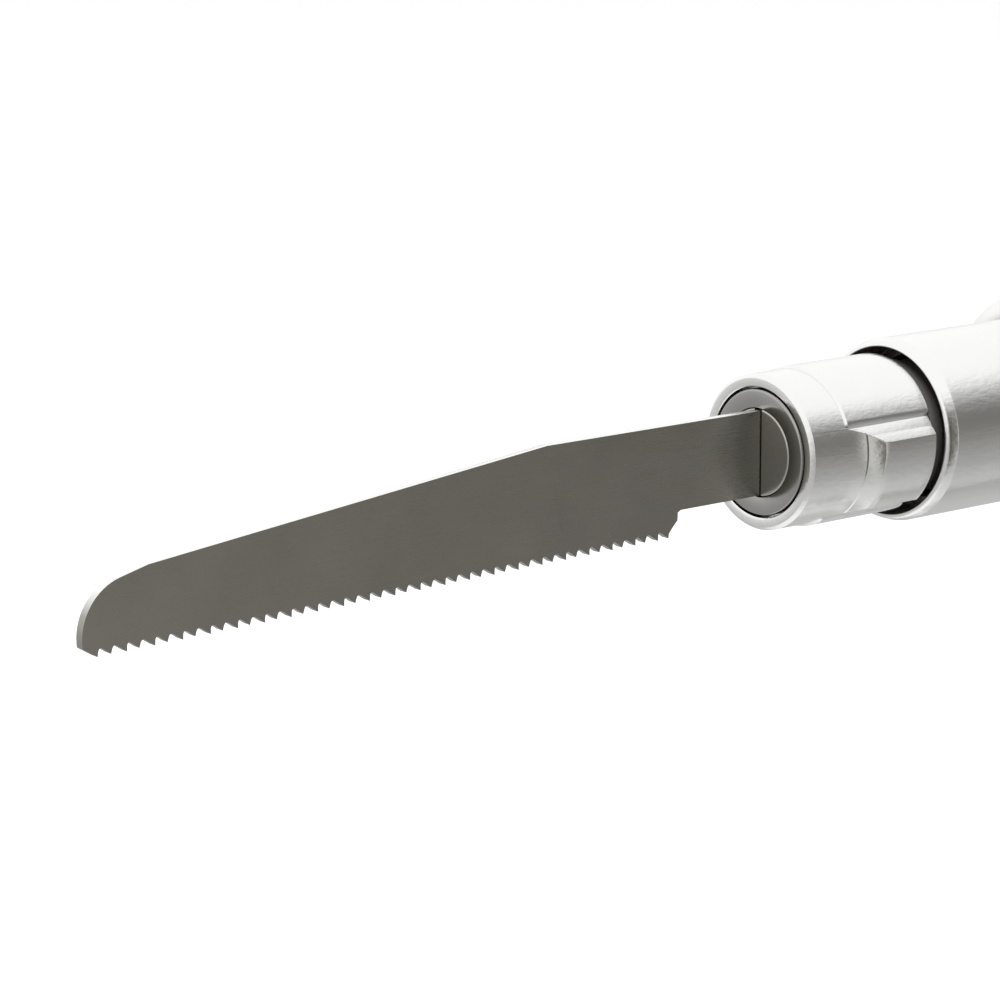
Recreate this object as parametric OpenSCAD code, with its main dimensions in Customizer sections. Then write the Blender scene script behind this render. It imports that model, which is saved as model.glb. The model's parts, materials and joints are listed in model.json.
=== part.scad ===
// Surgical reciprocating saw, battery powered, in millimetres.
// The saw's axis runs along X with the blade towards -X. It stands on its battery: the origin is the
// middle of the battery's flat underside, and the teeth look down, towards the grip.

/* [Blade] */
// Reach of the blade's tip in front of the chuck
blade_reach = 86.9; // [70:1:95]
// Thickness of the blade
blade_t = 1.0; // [0.8:0.1:1.2]
// Length of the shank inside the chuck
shank_in = 15; // [14.5:0.1:15.2]
// Where the spine starts to fall, in front of the chuck
kink_at = 29.9; // [22:1:40]
// Fall of the spine along the toothed part, in degrees
spine_fall = 5.34; // [4:0.1:6]
// Radius of the rounded tip
tip_round = 5; // [3.5:0.5:5.5]
// Pitch of the teeth
tooth_pitch = 1.59; // [1.2:0.01:2.4]
// Depth of the teeth
tooth_depth = 0.8; // [0.5:0.05:1.1]
// How far the teeth are bent sideways, in degrees
tooth_set = 10; // [4:1:14]

/* [Chuck] */
// Radius of the plunger
rod_r = 4.83; // [4.78:0.01:5]
// Wall of the sleeve round the plunger
sleeve_wall = 1.77; // [1.6:0.01:1.9]
// How far the neck that runs into the barrel stands out over the sleeve
neck_rise = 0.8; // [0.7:0.05:1]
// Wall of the collar's front part round the sleeve
collar_wall = 1.9; // [1.8:0.05:2.2]
// Step from the collar's front part to its back part
collar_step = 0.27; // [0.2:0.01:0.35]
// Rise of the collar's finger lobes
lobe_rise = 0.43; // [0.3:0.01:0.5]
// Length of the collar
collar_len = 18.1; // [17:0.1:20]
// Turn of the collar that frees the blade, in degrees
collar_turn = 40; // [30:1:42]

/* [Barrel and nose] */
// How far the barrel stands out over the collar's lobes
barrel_rise = 1.02; // [0.9:0.02:1.6]
// Length of the barrel in front of the shoulder
barrel_len = 16.6; // [16:0.1:20]
// Gap between collar and barrel mouth
mouth_gap = 1.1; // [0.9:0.1:2]
// How far the nose behind the shoulder stands out over the barrel
nose_rise = 2.78; // [2.4:0.02:3.6]
// Rounding of the shoulder
shoulder_round = 8.5; // [7:0.1:9]
// Length of the nose's straight part
nose_straight = 10; // [9:0.5:16]

/* [Drive] */
// Half of the blade's stroke that the cam's even part gives
half_stroke = 1.75; // [1.2:0.05:1.9]
// Turn of the cam over its even part, to each side, in degrees
cam_turn = 75; // [60:1:80]
// Length of the cam drum
drum_len = 18; // [17:0.5:22]
// Radius of the follower pin
follower_r = 1.9; // [1.5:0.1:2.1]
// Radius of the shaft
shaft_r = 4; // [3.8:0.05:4.2]
// Length of the stator's core
stator_len = 26; // [22:1:28]

/* [Body] */
// Radius of the motor housing
head_r = 20; // [19:0.1:22]
// Wall of the motor housing round the motor
housing_wall = 3.8; // [3.6:0.1:4.2]
// Height of the saw's axis above the surface it stands on
axis_h = 160; // [155:1:175]
// Length of the grip's section, front to back
grip_l = 40; // [39:0.5:44]
// Width of the grip
grip_w = 30; // [29:0.5:34]
// Wall of the grip
grip_wall = 3.2; // [2.6:0.1:3.4]

/* [Trigger and safety] */
// Height of the trigger
trigger_h = 24; // [20:0.5:26]
// Width of the trigger
trigger_w = 12; // [10:0.5:14]
// Travel of the trigger
trigger_travel = 5; // [3:0.5:5.5]
// Radius of the safety knob
safety_knob_r = 7; // [5.5:0.25:7.5]

/* [Battery] */
// Length of the battery pack
pack_l = 70; // [69:1:76]
// Width of the battery pack
pack_w = 46; // [45:1:52]
// Height of the battery pack
pack_h = 46; // [45:1:52]
// Wall of the battery pack
pack_wall = 2.4; // [2:0.1:2.6]
// Travel of the battery latch
latch_travel = 3; // [2:0.25:3]

/* [Hidden] */
$fn = 64;
over = 0.5;          // overrun of every cut
static_fit = 0.02;   // radial clearance of pieces that are pressed or screwed together
run_fit = 0.04;      // radial clearance of running fits
play = 0.2;          // clearance between loose neighbours
end_play = 0.65;     // room left at the ends of the stroke
edge = 0.3;          // small broken edges
step_eps = 0.01;     // least overlap where two shapes of one piece join

// Radii of the visible parts, from the plunger outwards
sleeve_r = rod_r + sleeve_wall;
neck_r = sleeve_r + neck_rise;
collar_front_r = sleeve_r + collar_wall;
collar_r = collar_front_r + collar_step;
lobe_r = collar_r + lobe_rise;
barrel_r = lobe_r + barrel_rise;
nose_r = barrel_r + nose_rise;
stator_r = head_r - housing_wall;

// Chuck, placed by distances behind its front face
shank_room = 0.2;
shank_h = 2 * (rod_r - shank_room);
face_chamfer = 0.41;
step_at = 5.36;
step_len = 0.2;
hole_gap = 0.5;
hole_r = sleeve_r + hole_gap;
lip_len = 2.4;
land_len = 2;
spring_room = 1;
spring_chamber_r = sleeve_r + spring_room;
pin_at = 12;
pin_r = 1.25;
pin_nose_r = 0.6;
pin_nose = 0.5;
pin_lift = 1.1;
pin_inset = 0.05;
pin_tip_r = sleeve_r + play;
ramp_w = 3.4;
ramp_gap = 0.2;
ramp_rise = pin_lift / collar_turn;
ramp_past = 11.5;
ramp_reach = collar_turn + ramp_past;
ramp_steps = 14;
ramp_lead = 2;
ramp_r = pin_tip_r + ramp_gap;
ramp_x0 = pin_at - ramp_w / 2;
ramp_x1 = pin_at + ramp_w / 2;
neck_x0 = ramp_x1 + play / 2;
neck_len = 17.2;
neck_x1 = neck_x0 + neck_len;
flange_rise = 0.6;
flange_r = neck_r + flange_rise;
flange_len = 2;
clip_x = 1.5;
clip_w = 0.7;
clip_depth = 0.35;
clip_rise = 0.35;
clip_r = sleeve_r + clip_rise;
clip_gap = 3;

// Finger lobes, one on each side: the angles are measured round the axis from the side, upwards
lobe_x0 = 6;
lobe_valley_x = 8;
lobe_ramp_x = 9.6;
lobe_x1 = 10.4;
lobe_back = 0.05;
valley_depth = 0.21;
lobe_ramp_share = 0.8;
lobe_up = 7;
lobe_down = -45;
flank_turn = 14;
flank_valley_share = 0.8;
flank_shares = [0.21, 0.39, 0.61, 1];
lobe_arc_steps = 14;
lobe_root = 0.2;
lobe_root_r = collar_front_r - lobe_root;
lobe_turns = [0, 180];

// Barrel
rim_round = 0.85;
mouth_r = barrel_r - rim_round - step_eps;
mouth_depth = 5.4;
barrel_x = collar_len + mouth_gap;
shoulder_x = barrel_x + barrel_len;
mouth_x1 = barrel_x + mouth_depth;
seal_depth = 1.6;
seal_seat_r = neck_r + seal_depth;
retainer_w = 0.7;
seal_w = 3.2;
seal_x0 = mouth_x1 + retainer_w + step_eps;
seal_x1 = seal_x0 + seal_w + step_eps;
neck_room = 0.5;
neck_room_r = neck_r + neck_room;
bush_wall = 2.37;
bush_r = rod_r + bush_wall;
bush_len = 12;
front_bush_x = neck_x1 + half_stroke + end_play;
spigot_wall = 2.1;
spigot_r = bush_r + spigot_wall;
spigot_len = 10.2;
spigot_x1 = shoulder_x + spigot_len;

// Nose
shoulder_lip = 0.1;
shoulder_foot_r = barrel_r + shoulder_lip;
shoulder_angle = acos((shoulder_foot_r - nose_r + shoulder_round) / shoulder_round);
nose_top_x = shoulder_x + shoulder_round * sin(shoulder_angle);
flare_x = nose_top_x + nose_straight;
flare_in = 8;
flare_out = 10;
flare_angle = acos(1 - (head_r - nose_r) / (flare_in + flare_out));
flare_len = (flare_in + flare_out) * sin(flare_angle);
cavity_share = 0.7;
cavity_x = flare_x + flare_len * cavity_share;
rear_bush_inset = 1;
rear_bush_x = cavity_x - bush_len - rear_bush_inset;
arc_steps = 12;

// Yoke, cam and follower
web_t = 4;
drum_room = 0.9;
yoke_wall = 2.2;
liner_wall = 1.65;
nose_spigot_wall = 1.3;
nose_wall = 2.41;
drum_r = head_r - nose_wall - nose_spigot_wall - liner_wall - run_fit - yoke_wall - drum_room;
yoke_in_r = drum_r + drum_room;
yoke_out_r = yoke_in_r + yoke_wall;
yoke_x = cavity_x + half_stroke + end_play;
drum_x = yoke_x + web_t + half_stroke + end_play;
yoke_x1 = drum_x + drum_len - end_play;
follower_x = drum_x + drum_len / 2;
groove_depth = 3;
groove_room = 0.15;
groove_w = 2 * (follower_r + groove_room);
cam_rate = half_stroke / cam_turn;
cam_steps = 72;
follower_tip_r = drum_r - groove_depth + play;
liner_in_r = yoke_out_r + run_fit;
liner_out_r = liner_in_r + liner_wall;
key_w = 4;
key_l = 8;
key_depth = 1;
key_h = 1.3;
drum_bore_r = shaft_r + static_fit;

// Bearings and motor
plate_x = yoke_x1 + half_stroke + end_play;
plate_t = 6;
nose_spigot = 4;
seam_x = plate_x - nose_spigot;
nose_spigot_r = liner_out_r + nose_spigot_wall;
seal_groove_at = 1;
lip_t = 3;
lip_h = 1.6;
lip_r = stator_r - lip_h;
race_w = 5;
race_t = 1.6;
ball_r = 1.3;
ball_gap = 0.05;
balls = 8;
ball_facets = 32;
ball_ring_r = shaft_r + static_fit + race_t + ball_gap + ball_r;
outer_race_in_r = ball_ring_r + ball_r + ball_gap;
outer_race_t = 2.15;
outer_race_r = outer_race_in_r + outer_race_t;
race_lip = 1;
front_bearing_x = plate_x + step_eps;
lip_x = plate_x + plate_t;
bay_x = lip_x + lip_t;
winding_over = 2.4;
stator_front_room = 1.2;
stator_x = bay_x + winding_over + stator_front_room;
stator_x1 = stator_x + stator_len;
stator_yoke_share = 0.84;
stator_bore_share = 0.568;
stator_yoke_r = stator_yoke_share * stator_r;
stator_bore_r = stator_bore_share * stator_r;
teeth_n = 6;
tooth_share = 0.21;
tooth_tip_share = 0.395;
tooth_w = tooth_share * stator_r;
tooth_tip_w = tooth_tip_share * stator_r;
tooth_tip_t = 0.7;
tooth_root = 1;
coil_share = 0.407;
coil_w = coil_share * stator_r;
coil_gap = 0.6;
coil_out_r = stator_yoke_r - coil_gap;
magnet_t = 1.2;
air_gap = 0.6;
magnet_r = stator_bore_r - air_gap;
rotor_r = magnet_r - magnet_t;
magnet_gap = 1;
stator_back_room = 4.5;
cap_x = stator_x1 + winding_over + stator_back_room;
magnet_inset = 1;
bore_step = 1;
cap_spigot = 3;
cap_spigot_r = stator_r;
cap_len = 11;
cap_round = 7;
cap_wall = 3;
rear_bearing_x = cap_x;
shaft_x0 = drum_x;
shaft_past = 0.5;
shaft_x1 = rear_bearing_x + race_w + shaft_past;
cap_pocket_past = 1;
cap_boss_inset = 1;
cap_spigot_wall = 2;
cap_screw_r = 1.25;
cap_screw_head_r = 2.2;
cap_screw_head_h = 2.2;
cap_screw_len = 10;
cap_screw_inset = housing_wall / 2;
cap_screw_ring_r = head_r - cap_screw_inset;
cap_screw_angles = [45, 135, 225, 315];
seal_wire_r = 0.4;

// Grip, placed under the motor
grip_lead = 1.5;
grip_x = cap_x - grip_l / 2 - grip_lead;
foot_z = pack_h;
foot_t = 7;
foot_corner = 9;
grip_z0 = foot_z + foot_t;
flare_h = 9;
hull_plate = 1;
flare_facets = 32;
swell_front = 1.6;
swell_back = 2.6;
waist = 1;
swell_steps = 16;
bridge_t = 3;
grip_top = axis_h - head_r;
cavity_l = grip_l - 2 * grip_wall - 2 * waist;
cavity_w = grip_w - 2 * grip_wall;
lead_hole_r = 3;

// Trigger and safety, x from the grip's middle
trigger_drop = 7;
root_share = 0.11;
guide_share = 0.15;
stem_share = 0.05;
trigger_root = root_share * grip_l;
guide_len = guide_share * grip_l;
stem_past = stem_share * grip_l;
trigger_z = grip_top - trigger_h / 2 - trigger_drop;
trigger_out = 9;
trigger_front = -grip_l / 2 - trigger_out;
trigger_back = trigger_front + trigger_out + trigger_travel + trigger_root;
trigger_hollow_r = 26;
trigger_hollow = 1.8;
stem_r = 2.5;
spring_wire = 0.35;
spring_turns = 4;
spring_pitch = 0.8;
spring_len = spring_turns * spring_pitch + 2 * spring_wire;
spring_seat = 0.1;
bush_x0 = trigger_back + spring_seat + spring_len + trigger_travel + play;
bush_x1 = bush_x0 + guide_len;
rib_inset = 1;
guide_r = 4.5;
rib_h = 16;
stem_x1 = bush_x1 + stem_past;
magnet_len = 3;
trigger_magnet_r = 1.6;
safety_share = 0.3;
safety_x = safety_share * grip_l;
safety_z = trigger_z;
safety_knob_t = 3;
safety_tab_past = 1;
safety_tab_w = 5;
safety_shaft_r = 2.6;
safety_in = 7;
safety_tab_rise = 1;

// Electronics
board_t = 1.6;
board_l_share = 0.79;
board_l = board_l_share * cavity_l;
board_lift = 9;
board_z0 = grip_z0 + board_lift;
board_share = 0.68;
board_h = board_share * (trigger_z - board_z0);
board_y = 5;
neck_share = 0.174;
board_neck_w = neck_share * cavity_l;
board_neck_past = 3;
sensor_share = 0.1;
sensor_l = sensor_share * grip_l;
sensor_t = 1.5;
post_r = 2.6;
board_screw_r = 1;
board_screw_len = 6;
board_head_r = 1.9;
board_head_h = 1.2;

// Battery
base_t = 3;
case_top = 2.6;
pack_corner = 8;
rail_w = 24;
rail_t = 2;
rail_flange_w = 30;
rail_flange_t = 2;
rail_gap = 0.15;
rail_inset = 3;
rail_x0 = rail_inset - pack_l / 2;
latch_back = 9.7;
latch_x0 = pack_l / 2 - latch_back;
rail_back = 7.3;
rail_x1 = latch_x0 - rail_back;
cell_share = 0.1956;
cell_r = cell_share * min(pack_w, pack_h);
cell_gap = 0.3;
link_t = 0.3;
link_w = 6;
base_screw_r = 1.2;
base_screw_len = 8;
base_head_r = 2.3;
base_head_h = 1.6;
base_screw_inset = 5.6;
base_post_r = 3;
cell_front_room = 0.7;
cell_x0 = -pack_l / 2 + base_screw_inset + base_post_r + cell_front_room;
cell_l = latch_x0 - link_t - cell_front_room - cell_x0;
cell_y = cell_r + cell_gap / 2;
cell_z0 = base_t + cell_gap + cell_r;
latch_plate_t = 2.4;
latch_plate_w = 8;
latch_button_w = 14;
latch_button_h = 9;
latch_button_out = 1.6;
latch_button_drop = 6;
latch_button_z1 = pack_h - latch_button_drop;
latch_hook_h = 3;
latch_spring_room = 9;
latch_shelf_t = 2;
latch_shelf_z = latch_button_z1 - latch_button_h - latch_spring_room;
latch_spring_r = 1.9;
latch_wire = 0.3;
latch_turns = 6;
terminals = 3;
terminal_w = 4;
terminal_t = 0.8;
terminal_past = 1.3;
terminal_block_l = 12;
terminal_block_room = 1.8;
terminal_block_w = cavity_w - 2 * terminal_block_room;
terminal_pitch_share = 0.3;
terminal_pitch = terminal_pitch_share * terminal_block_w;
terminal_block_h = 5;
cavity_floor = 1;

// Colours as the photograph shows them, and plain ones for what it doesn't show
satin = [0.72, 0.73, 0.73];
bright = [0.80, 0.81, 0.80];
blade_grey = [0.40, 0.40, 0.37];
dark_steel = [0.34, 0.35, 0.34];
bronze = [0.66, 0.50, 0.28];
black = [0.10, 0.10, 0.11];
copper = [0.72, 0.42, 0.22];
green = [0.10, 0.32, 0.20];
blue = [0.25, 0.40, 0.62];

// Places its children on the saw's axis, x behind the chuck's face, with their z towards the back
module along(x) translate([x - grip_x, 0, axis_h]) rotate([0, 90, 0]) children();

// Turns a list of [radius, distance behind the chuck's face] round the saw's axis
module turned(points) along(0) rotate_extrude() polygon(points);

module tube(r_in, r_out, x0, x1) turned([[r_in, x0], [r_out, x0], [r_out, x1], [r_in, x1]]);

// Stands a drawing of [distance behind the chuck's face, height over the axis] upright on the middle plane
module upright(thickness)
    translate([-grip_x, thickness / 2, axis_h]) rotate([90, 0, 0]) linear_extrude(thickness) children();

// A hole or pin across the axis towards the side that the photograph doesn't show
module sideways(x, y) along(x) translate([0, y, 0]) rotate([-90, 0, 0]) children();

module rounded_rect(l, w, corner) {
    square([l - 2 * corner, w], center = true);
    square([l, w - 2 * corner], center = true);
    for (x = [-1, 1], y = [-1, 1]) translate([x * (l / 2 - corner), y * (w / 2 - corner)]) circle(corner);
}

module block(l, w, z0, z1, corner) translate([0, 0, z0]) linear_extrude(z1 - z0) rounded_rect(l, w, corner);

function arc(cx, cy, r, a0, a1, n) =
    [for (i = [0:n]) [cx + r * cos(a0 + (a1 - a0) * i / n), cy + r * sin(a0 + (a1 - a0) * i / n)]];

// A point across the axis at radius r and angle a, where 0 is the saw's left side and 90 is up
function polar(r, a) = [-r * sin(a), -r * cos(a)];

// A wound spring along z, one unbroken wire
coil_sides = 6;
coil_steps = 20;
module coil(mean_r, wire_r, pitch, turns, per_turn) {
    sides = coil_sides;
    rings = turns * per_turn;
    points = [for (i = [0:rings], k = [0:sides - 1])
        let (a = 360 * i / per_turn, b = 360 * k / sides, r = mean_r + wire_r * cos(b))
        [r * cos(a), r * sin(a), wire_r + pitch * i / per_turn + wire_r * sin(b)]];
    skin = [for (i = [0:rings - 1], k = [0:sides - 1], half = [0, 1])
        let (n = (k + 1) % sides, p = i * sides, q = p + sides)
        half == 0 ? [p + k, q + k, q + n] : [p + k, q + n, p + n]];
    front = [[for (k = [0:sides - 1]) k]];
    back = [[for (k = [sides - 1:-1:0]) rings * sides + k]];
    polyhedron(points, concat(skin, front, back));
}

// Blade
first_tooth_back = 2.1;
first_tooth = blade_reach - first_tooth_back;
heel_at = 13.2;
teeth = floor((first_tooth - heel_at) / tooth_pitch) + 1;
tip_line = 7.45;
tip_line_fall = 0.75;
nose_fall = 13.5;
nose_drop = 0.77;
tip_wrap = 14;
tip_x = tip_round - blade_reach;
tip_c = [tip_x, shank_h / 2 + (tip_x + kink_at) * tan(spine_fall) - tip_round - nose_drop];
nose_top = [tip_c[0] - tip_round * sin(nose_fall), tip_c[1] + tip_round * cos(nose_fall)];
nose_join = (shank_h / 2 - nose_top[1] + kink_at * tan(spine_fall) + nose_top[0] * tan(nose_fall))
    / (tan(nose_fall) - tan(spine_fall));
heel_x1 = 11.52;
heel_l = 1.24;
heel_h = 1.83;
heel_shares = [[1, 1], [0.37, 0.58], [0.32, 0.12], [0, 0]];
back_share = 0.72;
face_share = 0.04;
gullet_shares = [[0.06, 0.35], [0.12, 0.12], [0.22, 0]];
tooth_root_in = 0.15;

function tooth_x(i) = i * tooth_pitch - first_tooth;
function tip_z(x) = -tip_line - (-x - heel_at) * tan(tip_line_fall);
function spine_z(x) = shank_h / 2 + (x + kink_at) * tan(spine_fall);

module blade_tooth(i) {
    x = tooth_x(i);
    z = tip_z(x);
    root = z + tooth_depth;
    bend = i % 2 == 0 ? -tooth_set : tooth_set;
    translate([x - grip_x, 0, axis_h + root]) rotate([bend, 0, 0]) translate([0, blade_t / 2, 0])
        rotate([90, 0, 0]) linear_extrude(blade_t) polygon(concat(
            [[-back_share * tooth_pitch, tooth_root_in], [-back_share * tooth_pitch, 0], [0, -tooth_depth]],
            [for (s = gullet_shares) [s[0] * tooth_pitch, -s[1] * tooth_depth]],
            [[gullet_shares[2][0] * tooth_pitch, tooth_root_in]]));
}

module blade() {
    last = tooth_x(teeth - 1);
    outline = concat(
        [[shank_in, -shank_h / 2], [shank_in, shank_h / 2], [-kink_at, shank_h / 2]],
        [[nose_join, spine_z(nose_join)]],
        arc(tip_c[0], tip_c[1], tip_round, 90 + nose_fall, 180 + tip_wrap, arc_steps),
        [[tooth_x(0), tip_z(tooth_x(0))]],
        [[tooth_x(0) + face_share * tooth_pitch, tip_z(tooth_x(0)) + tooth_depth]],
        [[last, tip_z(last) + tooth_depth]],
        [for (s = heel_shares) [-heel_x1 - heel_l * s[0], -shank_h / 2 - heel_h * s[1]]]);
    color(blade_grey) union() {
        difference() {
            upright(blade_t) polygon(outline);
            sideways(pin_at, -blade_t / 2 - over) cylinder(r = pin_r + pin_inset, h = blade_t + 2 * over);
        }
        for (i = [1:teeth - 1]) blade_tooth(i);
    }
}

// Chuck
module plunger() {
    profile = [[0, 0], [rod_r - edge, 0], [rod_r, edge], [rod_r, yoke_x], [yoke_out_r - edge, yoke_x],
        [yoke_out_r, yoke_x + edge], [yoke_out_r, yoke_x1], [yoke_in_r, yoke_x1], [yoke_in_r, yoke_x + web_t],
        [0, yoke_x + web_t]];
    slot_h = 2 * (rod_r + over);
    color(dark_steel) difference() {
        turned(profile);
        along(-over) translate([-slot_h / 2, -blade_t / 2 - run_fit, 0])
            cube([slot_h, blade_t + 2 * run_fit, shank_in + over + play]);
        sideways(pin_at, 0) cylinder(r = pin_r + run_fit, h = rod_r + over);
        along(follower_x) rotate([0, -90, 0]) cylinder(r = follower_r + static_fit, h = yoke_out_r + over);
        along(follower_x - key_l / 2 - static_fit)
            translate([yoke_out_r - key_depth, -key_w / 2 - static_fit, 0])
            cube([key_depth + over, key_w + 2 * static_fit, key_l + 2 * static_fit]);
    }
}

module chuck_sleeve() {
    bore = rod_r + static_fit;
    groove_r = sleeve_r - clip_depth;
    profile = [[bore, 0], [sleeve_r - edge, 0], [sleeve_r, edge], [sleeve_r, clip_x], [groove_r, clip_x],
        [groove_r, clip_x + clip_w], [sleeve_r, clip_x + clip_w], [sleeve_r, neck_x0], [neck_r, neck_x0],
        [neck_r, collar_len + play], [flange_r, collar_len + play], [flange_r, collar_len + play + flange_len],
        [neck_r, collar_len + play + flange_len], [neck_r, neck_x1], [bore, neck_x1]];
    color(bright) difference() {
        turned(profile);
        sideways(pin_at, 0) cylinder(r = pin_r + run_fit, h = sleeve_r + over);
    }
}

// The ramp inside the collar lets the pin rise as the collar turns
function ramp_point(i) =
    let (turned_by = (ramp_reach + ramp_lead) * i / ramp_steps - ramp_lead)
    polar(ramp_r + ramp_rise * turned_by, 180 - turned_by);

function onward(from, to, share) = to + (to - from) * share;

// Corners of a lobe's flank across the axis: its crown, its foot, the valley and where the valley ends
function flank(i, side) =
    let (r = [lobe_r - valley_depth / 2, collar_r, collar_r - flank_valley_share * valley_depth, collar_r][i],
        from = side > 0 ? lobe_up : lobe_down)
    polar(r, from + side * flank_turn * flank_shares[i]);

// What is cut away round a lobe, and the lobe itself, each as a section across the axis
function lobe_angle(i) = lobe_up + (lobe_down - lobe_up) * i / lobe_arc_steps;
function valley_section() = concat(
    [for (side = [1, -1], i = side > 0 ? [0, 1] : [1, 0])
        i == 0 ? onward(flank(2, side), flank(3, side), 1) : onward(flank(3, side), flank(2, side), 1)],
    [for (i = [lobe_arc_steps:-1:0]) polar(collar_r + 4 * over, lobe_angle(i))]);
function lobe_section() = concat([[0, 0], onward(flank(1, 1), flank(2, 1), 1), flank(1, 1), flank(0, 1)],
    [for (i = [0:lobe_arc_steps]) polar(lobe_r + edge, lobe_angle(i))],
    [flank(0, -1), flank(1, -1), onward(flank(1, -1), flank(2, -1), 1)]);

valley_start = [collar_r, lobe_x0];
valley_foot = [collar_r - valley_depth, lobe_valley_x];
lobe_ramp_top = [valley_foot[0] + (lobe_r - valley_foot[0]) * lobe_ramp_share, lobe_ramp_x];

module lobe_valley() intersection() {
    rotate_extrude() polygon([onward(valley_foot, valley_start, 1), onward(valley_start, valley_foot, 1),
        [lobe_root_r, collar_len + over], [collar_r + over, collar_len + over]]);
    linear_extrude(collar_len + over) polygon(valley_section());
}

module lobe() intersection() {
    rotate_extrude() polygon([onward(lobe_ramp_top, valley_foot, 1), lobe_ramp_top, [lobe_r, lobe_x1],
        [lobe_r, collar_len - lobe_back], [lobe_root_r - step_len, collar_len - lobe_back]]);
    linear_extrude(collar_len + over) polygon(lobe_section());
}

module collar() {
    profile = [[0, 0], [collar_front_r - face_chamfer, 0], [collar_front_r, face_chamfer],
        [collar_front_r, step_at], [collar_r, step_at + step_len], [collar_r, collar_len - edge],
        [collar_r - edge, collar_len], [0, collar_len]];
    color(satin) along(0) difference() {
        union() {
            difference() {
                rotate_extrude() polygon(profile);
                for (turn = lobe_turns) rotate([0, 0, turn]) lobe_valley();
            }
            for (turn = lobe_turns) rotate([0, 0, turn]) lobe();
        }
        translate([0, 0, -over]) cylinder(r = hole_r, h = lip_len + over);
        cylinder(r = sleeve_r + run_fit, h = collar_len);
        translate([0, 0, lip_len + land_len])
            cylinder(r = spring_chamber_r, h = ramp_x0 + play / 2 - lip_len - land_len);
        translate([0, 0, ramp_x0 - over]) cylinder(r = ramp_r, h = ramp_w + over);
        translate([0, 0, ramp_x0]) linear_extrude(ramp_w)
            polygon(concat([[0, 0]], [for (i = [0:ramp_steps]) ramp_point(i)]));
        translate([0, 0, ramp_x1 - play / 2]) cylinder(r = neck_r + run_fit, h = collar_len + over - ramp_x1);
    }
}

module lock_pin() {
    inner = -blade_t / 2 + pin_inset;
    color(bright) sideways(pin_at, inner) {
        cylinder(r = pin_r, h = pin_tip_r - pin_nose - inner);
        cylinder(r = pin_nose_r, h = pin_tip_r - inner);
    }
}

module collar_clip() {
    color(dark_steel) difference() {
        tube(sleeve_r - clip_depth + static_fit, clip_r, clip_x + run_fit, clip_x + clip_w - run_fit);
        along(clip_x - over) translate([0, -clip_gap / 2, 0])
            cube([clip_r + over, clip_gap, clip_w + 2 * over]);
    }
}

module collar_spring() {
    mean_r = (sleeve_r + spring_chamber_r) / 2;
    wire_r = (spring_chamber_r - sleeve_r) / 2 - spring_seat;
    room = ramp_x0 - lip_len - land_len - 2 * play - 2 * wire_r;
    color(dark_steel) along(lip_len + land_len + play)
        coil(mean_r, wire_r, room / spring_turns, spring_turns, coil_steps);
}

// Barrel
module barrel() {
    rim = arc(barrel_r - rim_round, barrel_x + rim_round, rim_round, -90, 0, arc_steps);
    color(satin) turned(concat([[mouth_r, barrel_x]], rim,
        [[barrel_r, shoulder_x], [spigot_r, shoulder_x], [spigot_r, spigot_x1], [bush_r, spigot_x1],
            [bush_r, front_bush_x], [neck_room_r, front_bush_x], [neck_room_r, seal_x1],
            [seal_seat_r, seal_x1], [seal_seat_r, mouth_x1], [mouth_r, mouth_x1]]));
}

module shaft_seal() {
    touch_r = neck_r + run_fit;
    out_r = seal_seat_r - static_fit;
    color(black) turned([[neck_room_r, seal_x0], [out_r, seal_x0], [out_r, seal_x1 - step_eps],
        [neck_room_r, seal_x1 - step_eps], [touch_r, seal_x1 - seal_w / 3], [touch_r, seal_x0 + seal_w / 3]]);
}

module seal_retainer() color(dark_steel)
    tube(flange_r + play / 2, seal_seat_r - static_fit, mouth_x1, mouth_x1 + retainer_w);

module bush(x) color(bronze) tube(rod_r + run_fit, bush_r - static_fit, x, x + bush_len);

module front_bush() bush(front_bush_x + step_eps);

module rear_bush() bush(rear_bush_x);

// Nose
module nose_housing() {
    shoulder = arc(nose_r - shoulder_round, nose_top_x, shoulder_round, -shoulder_angle, 0, arc_steps);
    flare_rise = arc(nose_r + flare_in, flare_x, flare_in, 180, 180 - flare_angle, arc_steps);
    flare_crown = arc(head_r - flare_out, flare_x + flare_len, flare_out, -flare_angle, 0, arc_steps);
    seal_r = nose_spigot_r - 2 * seal_wire_r;
    groove_x0 = seam_x + seal_groove_at;
    groove_x1 = groove_x0 + 2 * seal_wire_r;
    inner = [[nose_spigot_r, seam_x], [nose_spigot_r, groove_x0], [seal_r, groove_x0],
        [seal_r, groove_x1], [nose_spigot_r, groove_x1],
        [nose_spigot_r, plate_x], [liner_out_r + static_fit, plate_x], [liner_out_r + static_fit, cavity_x],
        [bush_r, cavity_x], [bush_r, spigot_x1 + step_eps], [spigot_r + static_fit, spigot_x1 + step_eps],
        [spigot_r + static_fit, shoulder_x + step_eps]];
    color(satin) turned(concat([[shoulder_foot_r, shoulder_x + step_eps]], shoulder, flare_rise, flare_crown,
        [[head_r, seam_x]], inner));
}

module nose_seal() color(black) along(seam_x + seal_groove_at + seal_wire_r) rotate_extrude()
    translate([nose_spigot_r - seal_wire_r, 0]) circle(r = seal_wire_r - run_fit);

module yoke_liner() {
    slot_l = key_l + 2 * (half_stroke + end_play);
    color(bronze) difference() {
        tube(liner_in_r, liner_out_r, cavity_x + play, plate_x - play);
        along(follower_x - slot_l / 2) translate([liner_in_r - over, -key_w / 2 - run_fit, 0])
            cube([liner_out_r - liner_in_r + 2 * over, key_w + 2 * run_fit, slot_l]);
    }
}

module guide_key() color(dark_steel) along(follower_x - key_l / 2)
    translate([yoke_out_r - key_depth, -key_w / 2, 0]) cube([key_depth + key_h, key_w, key_l]);

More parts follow.
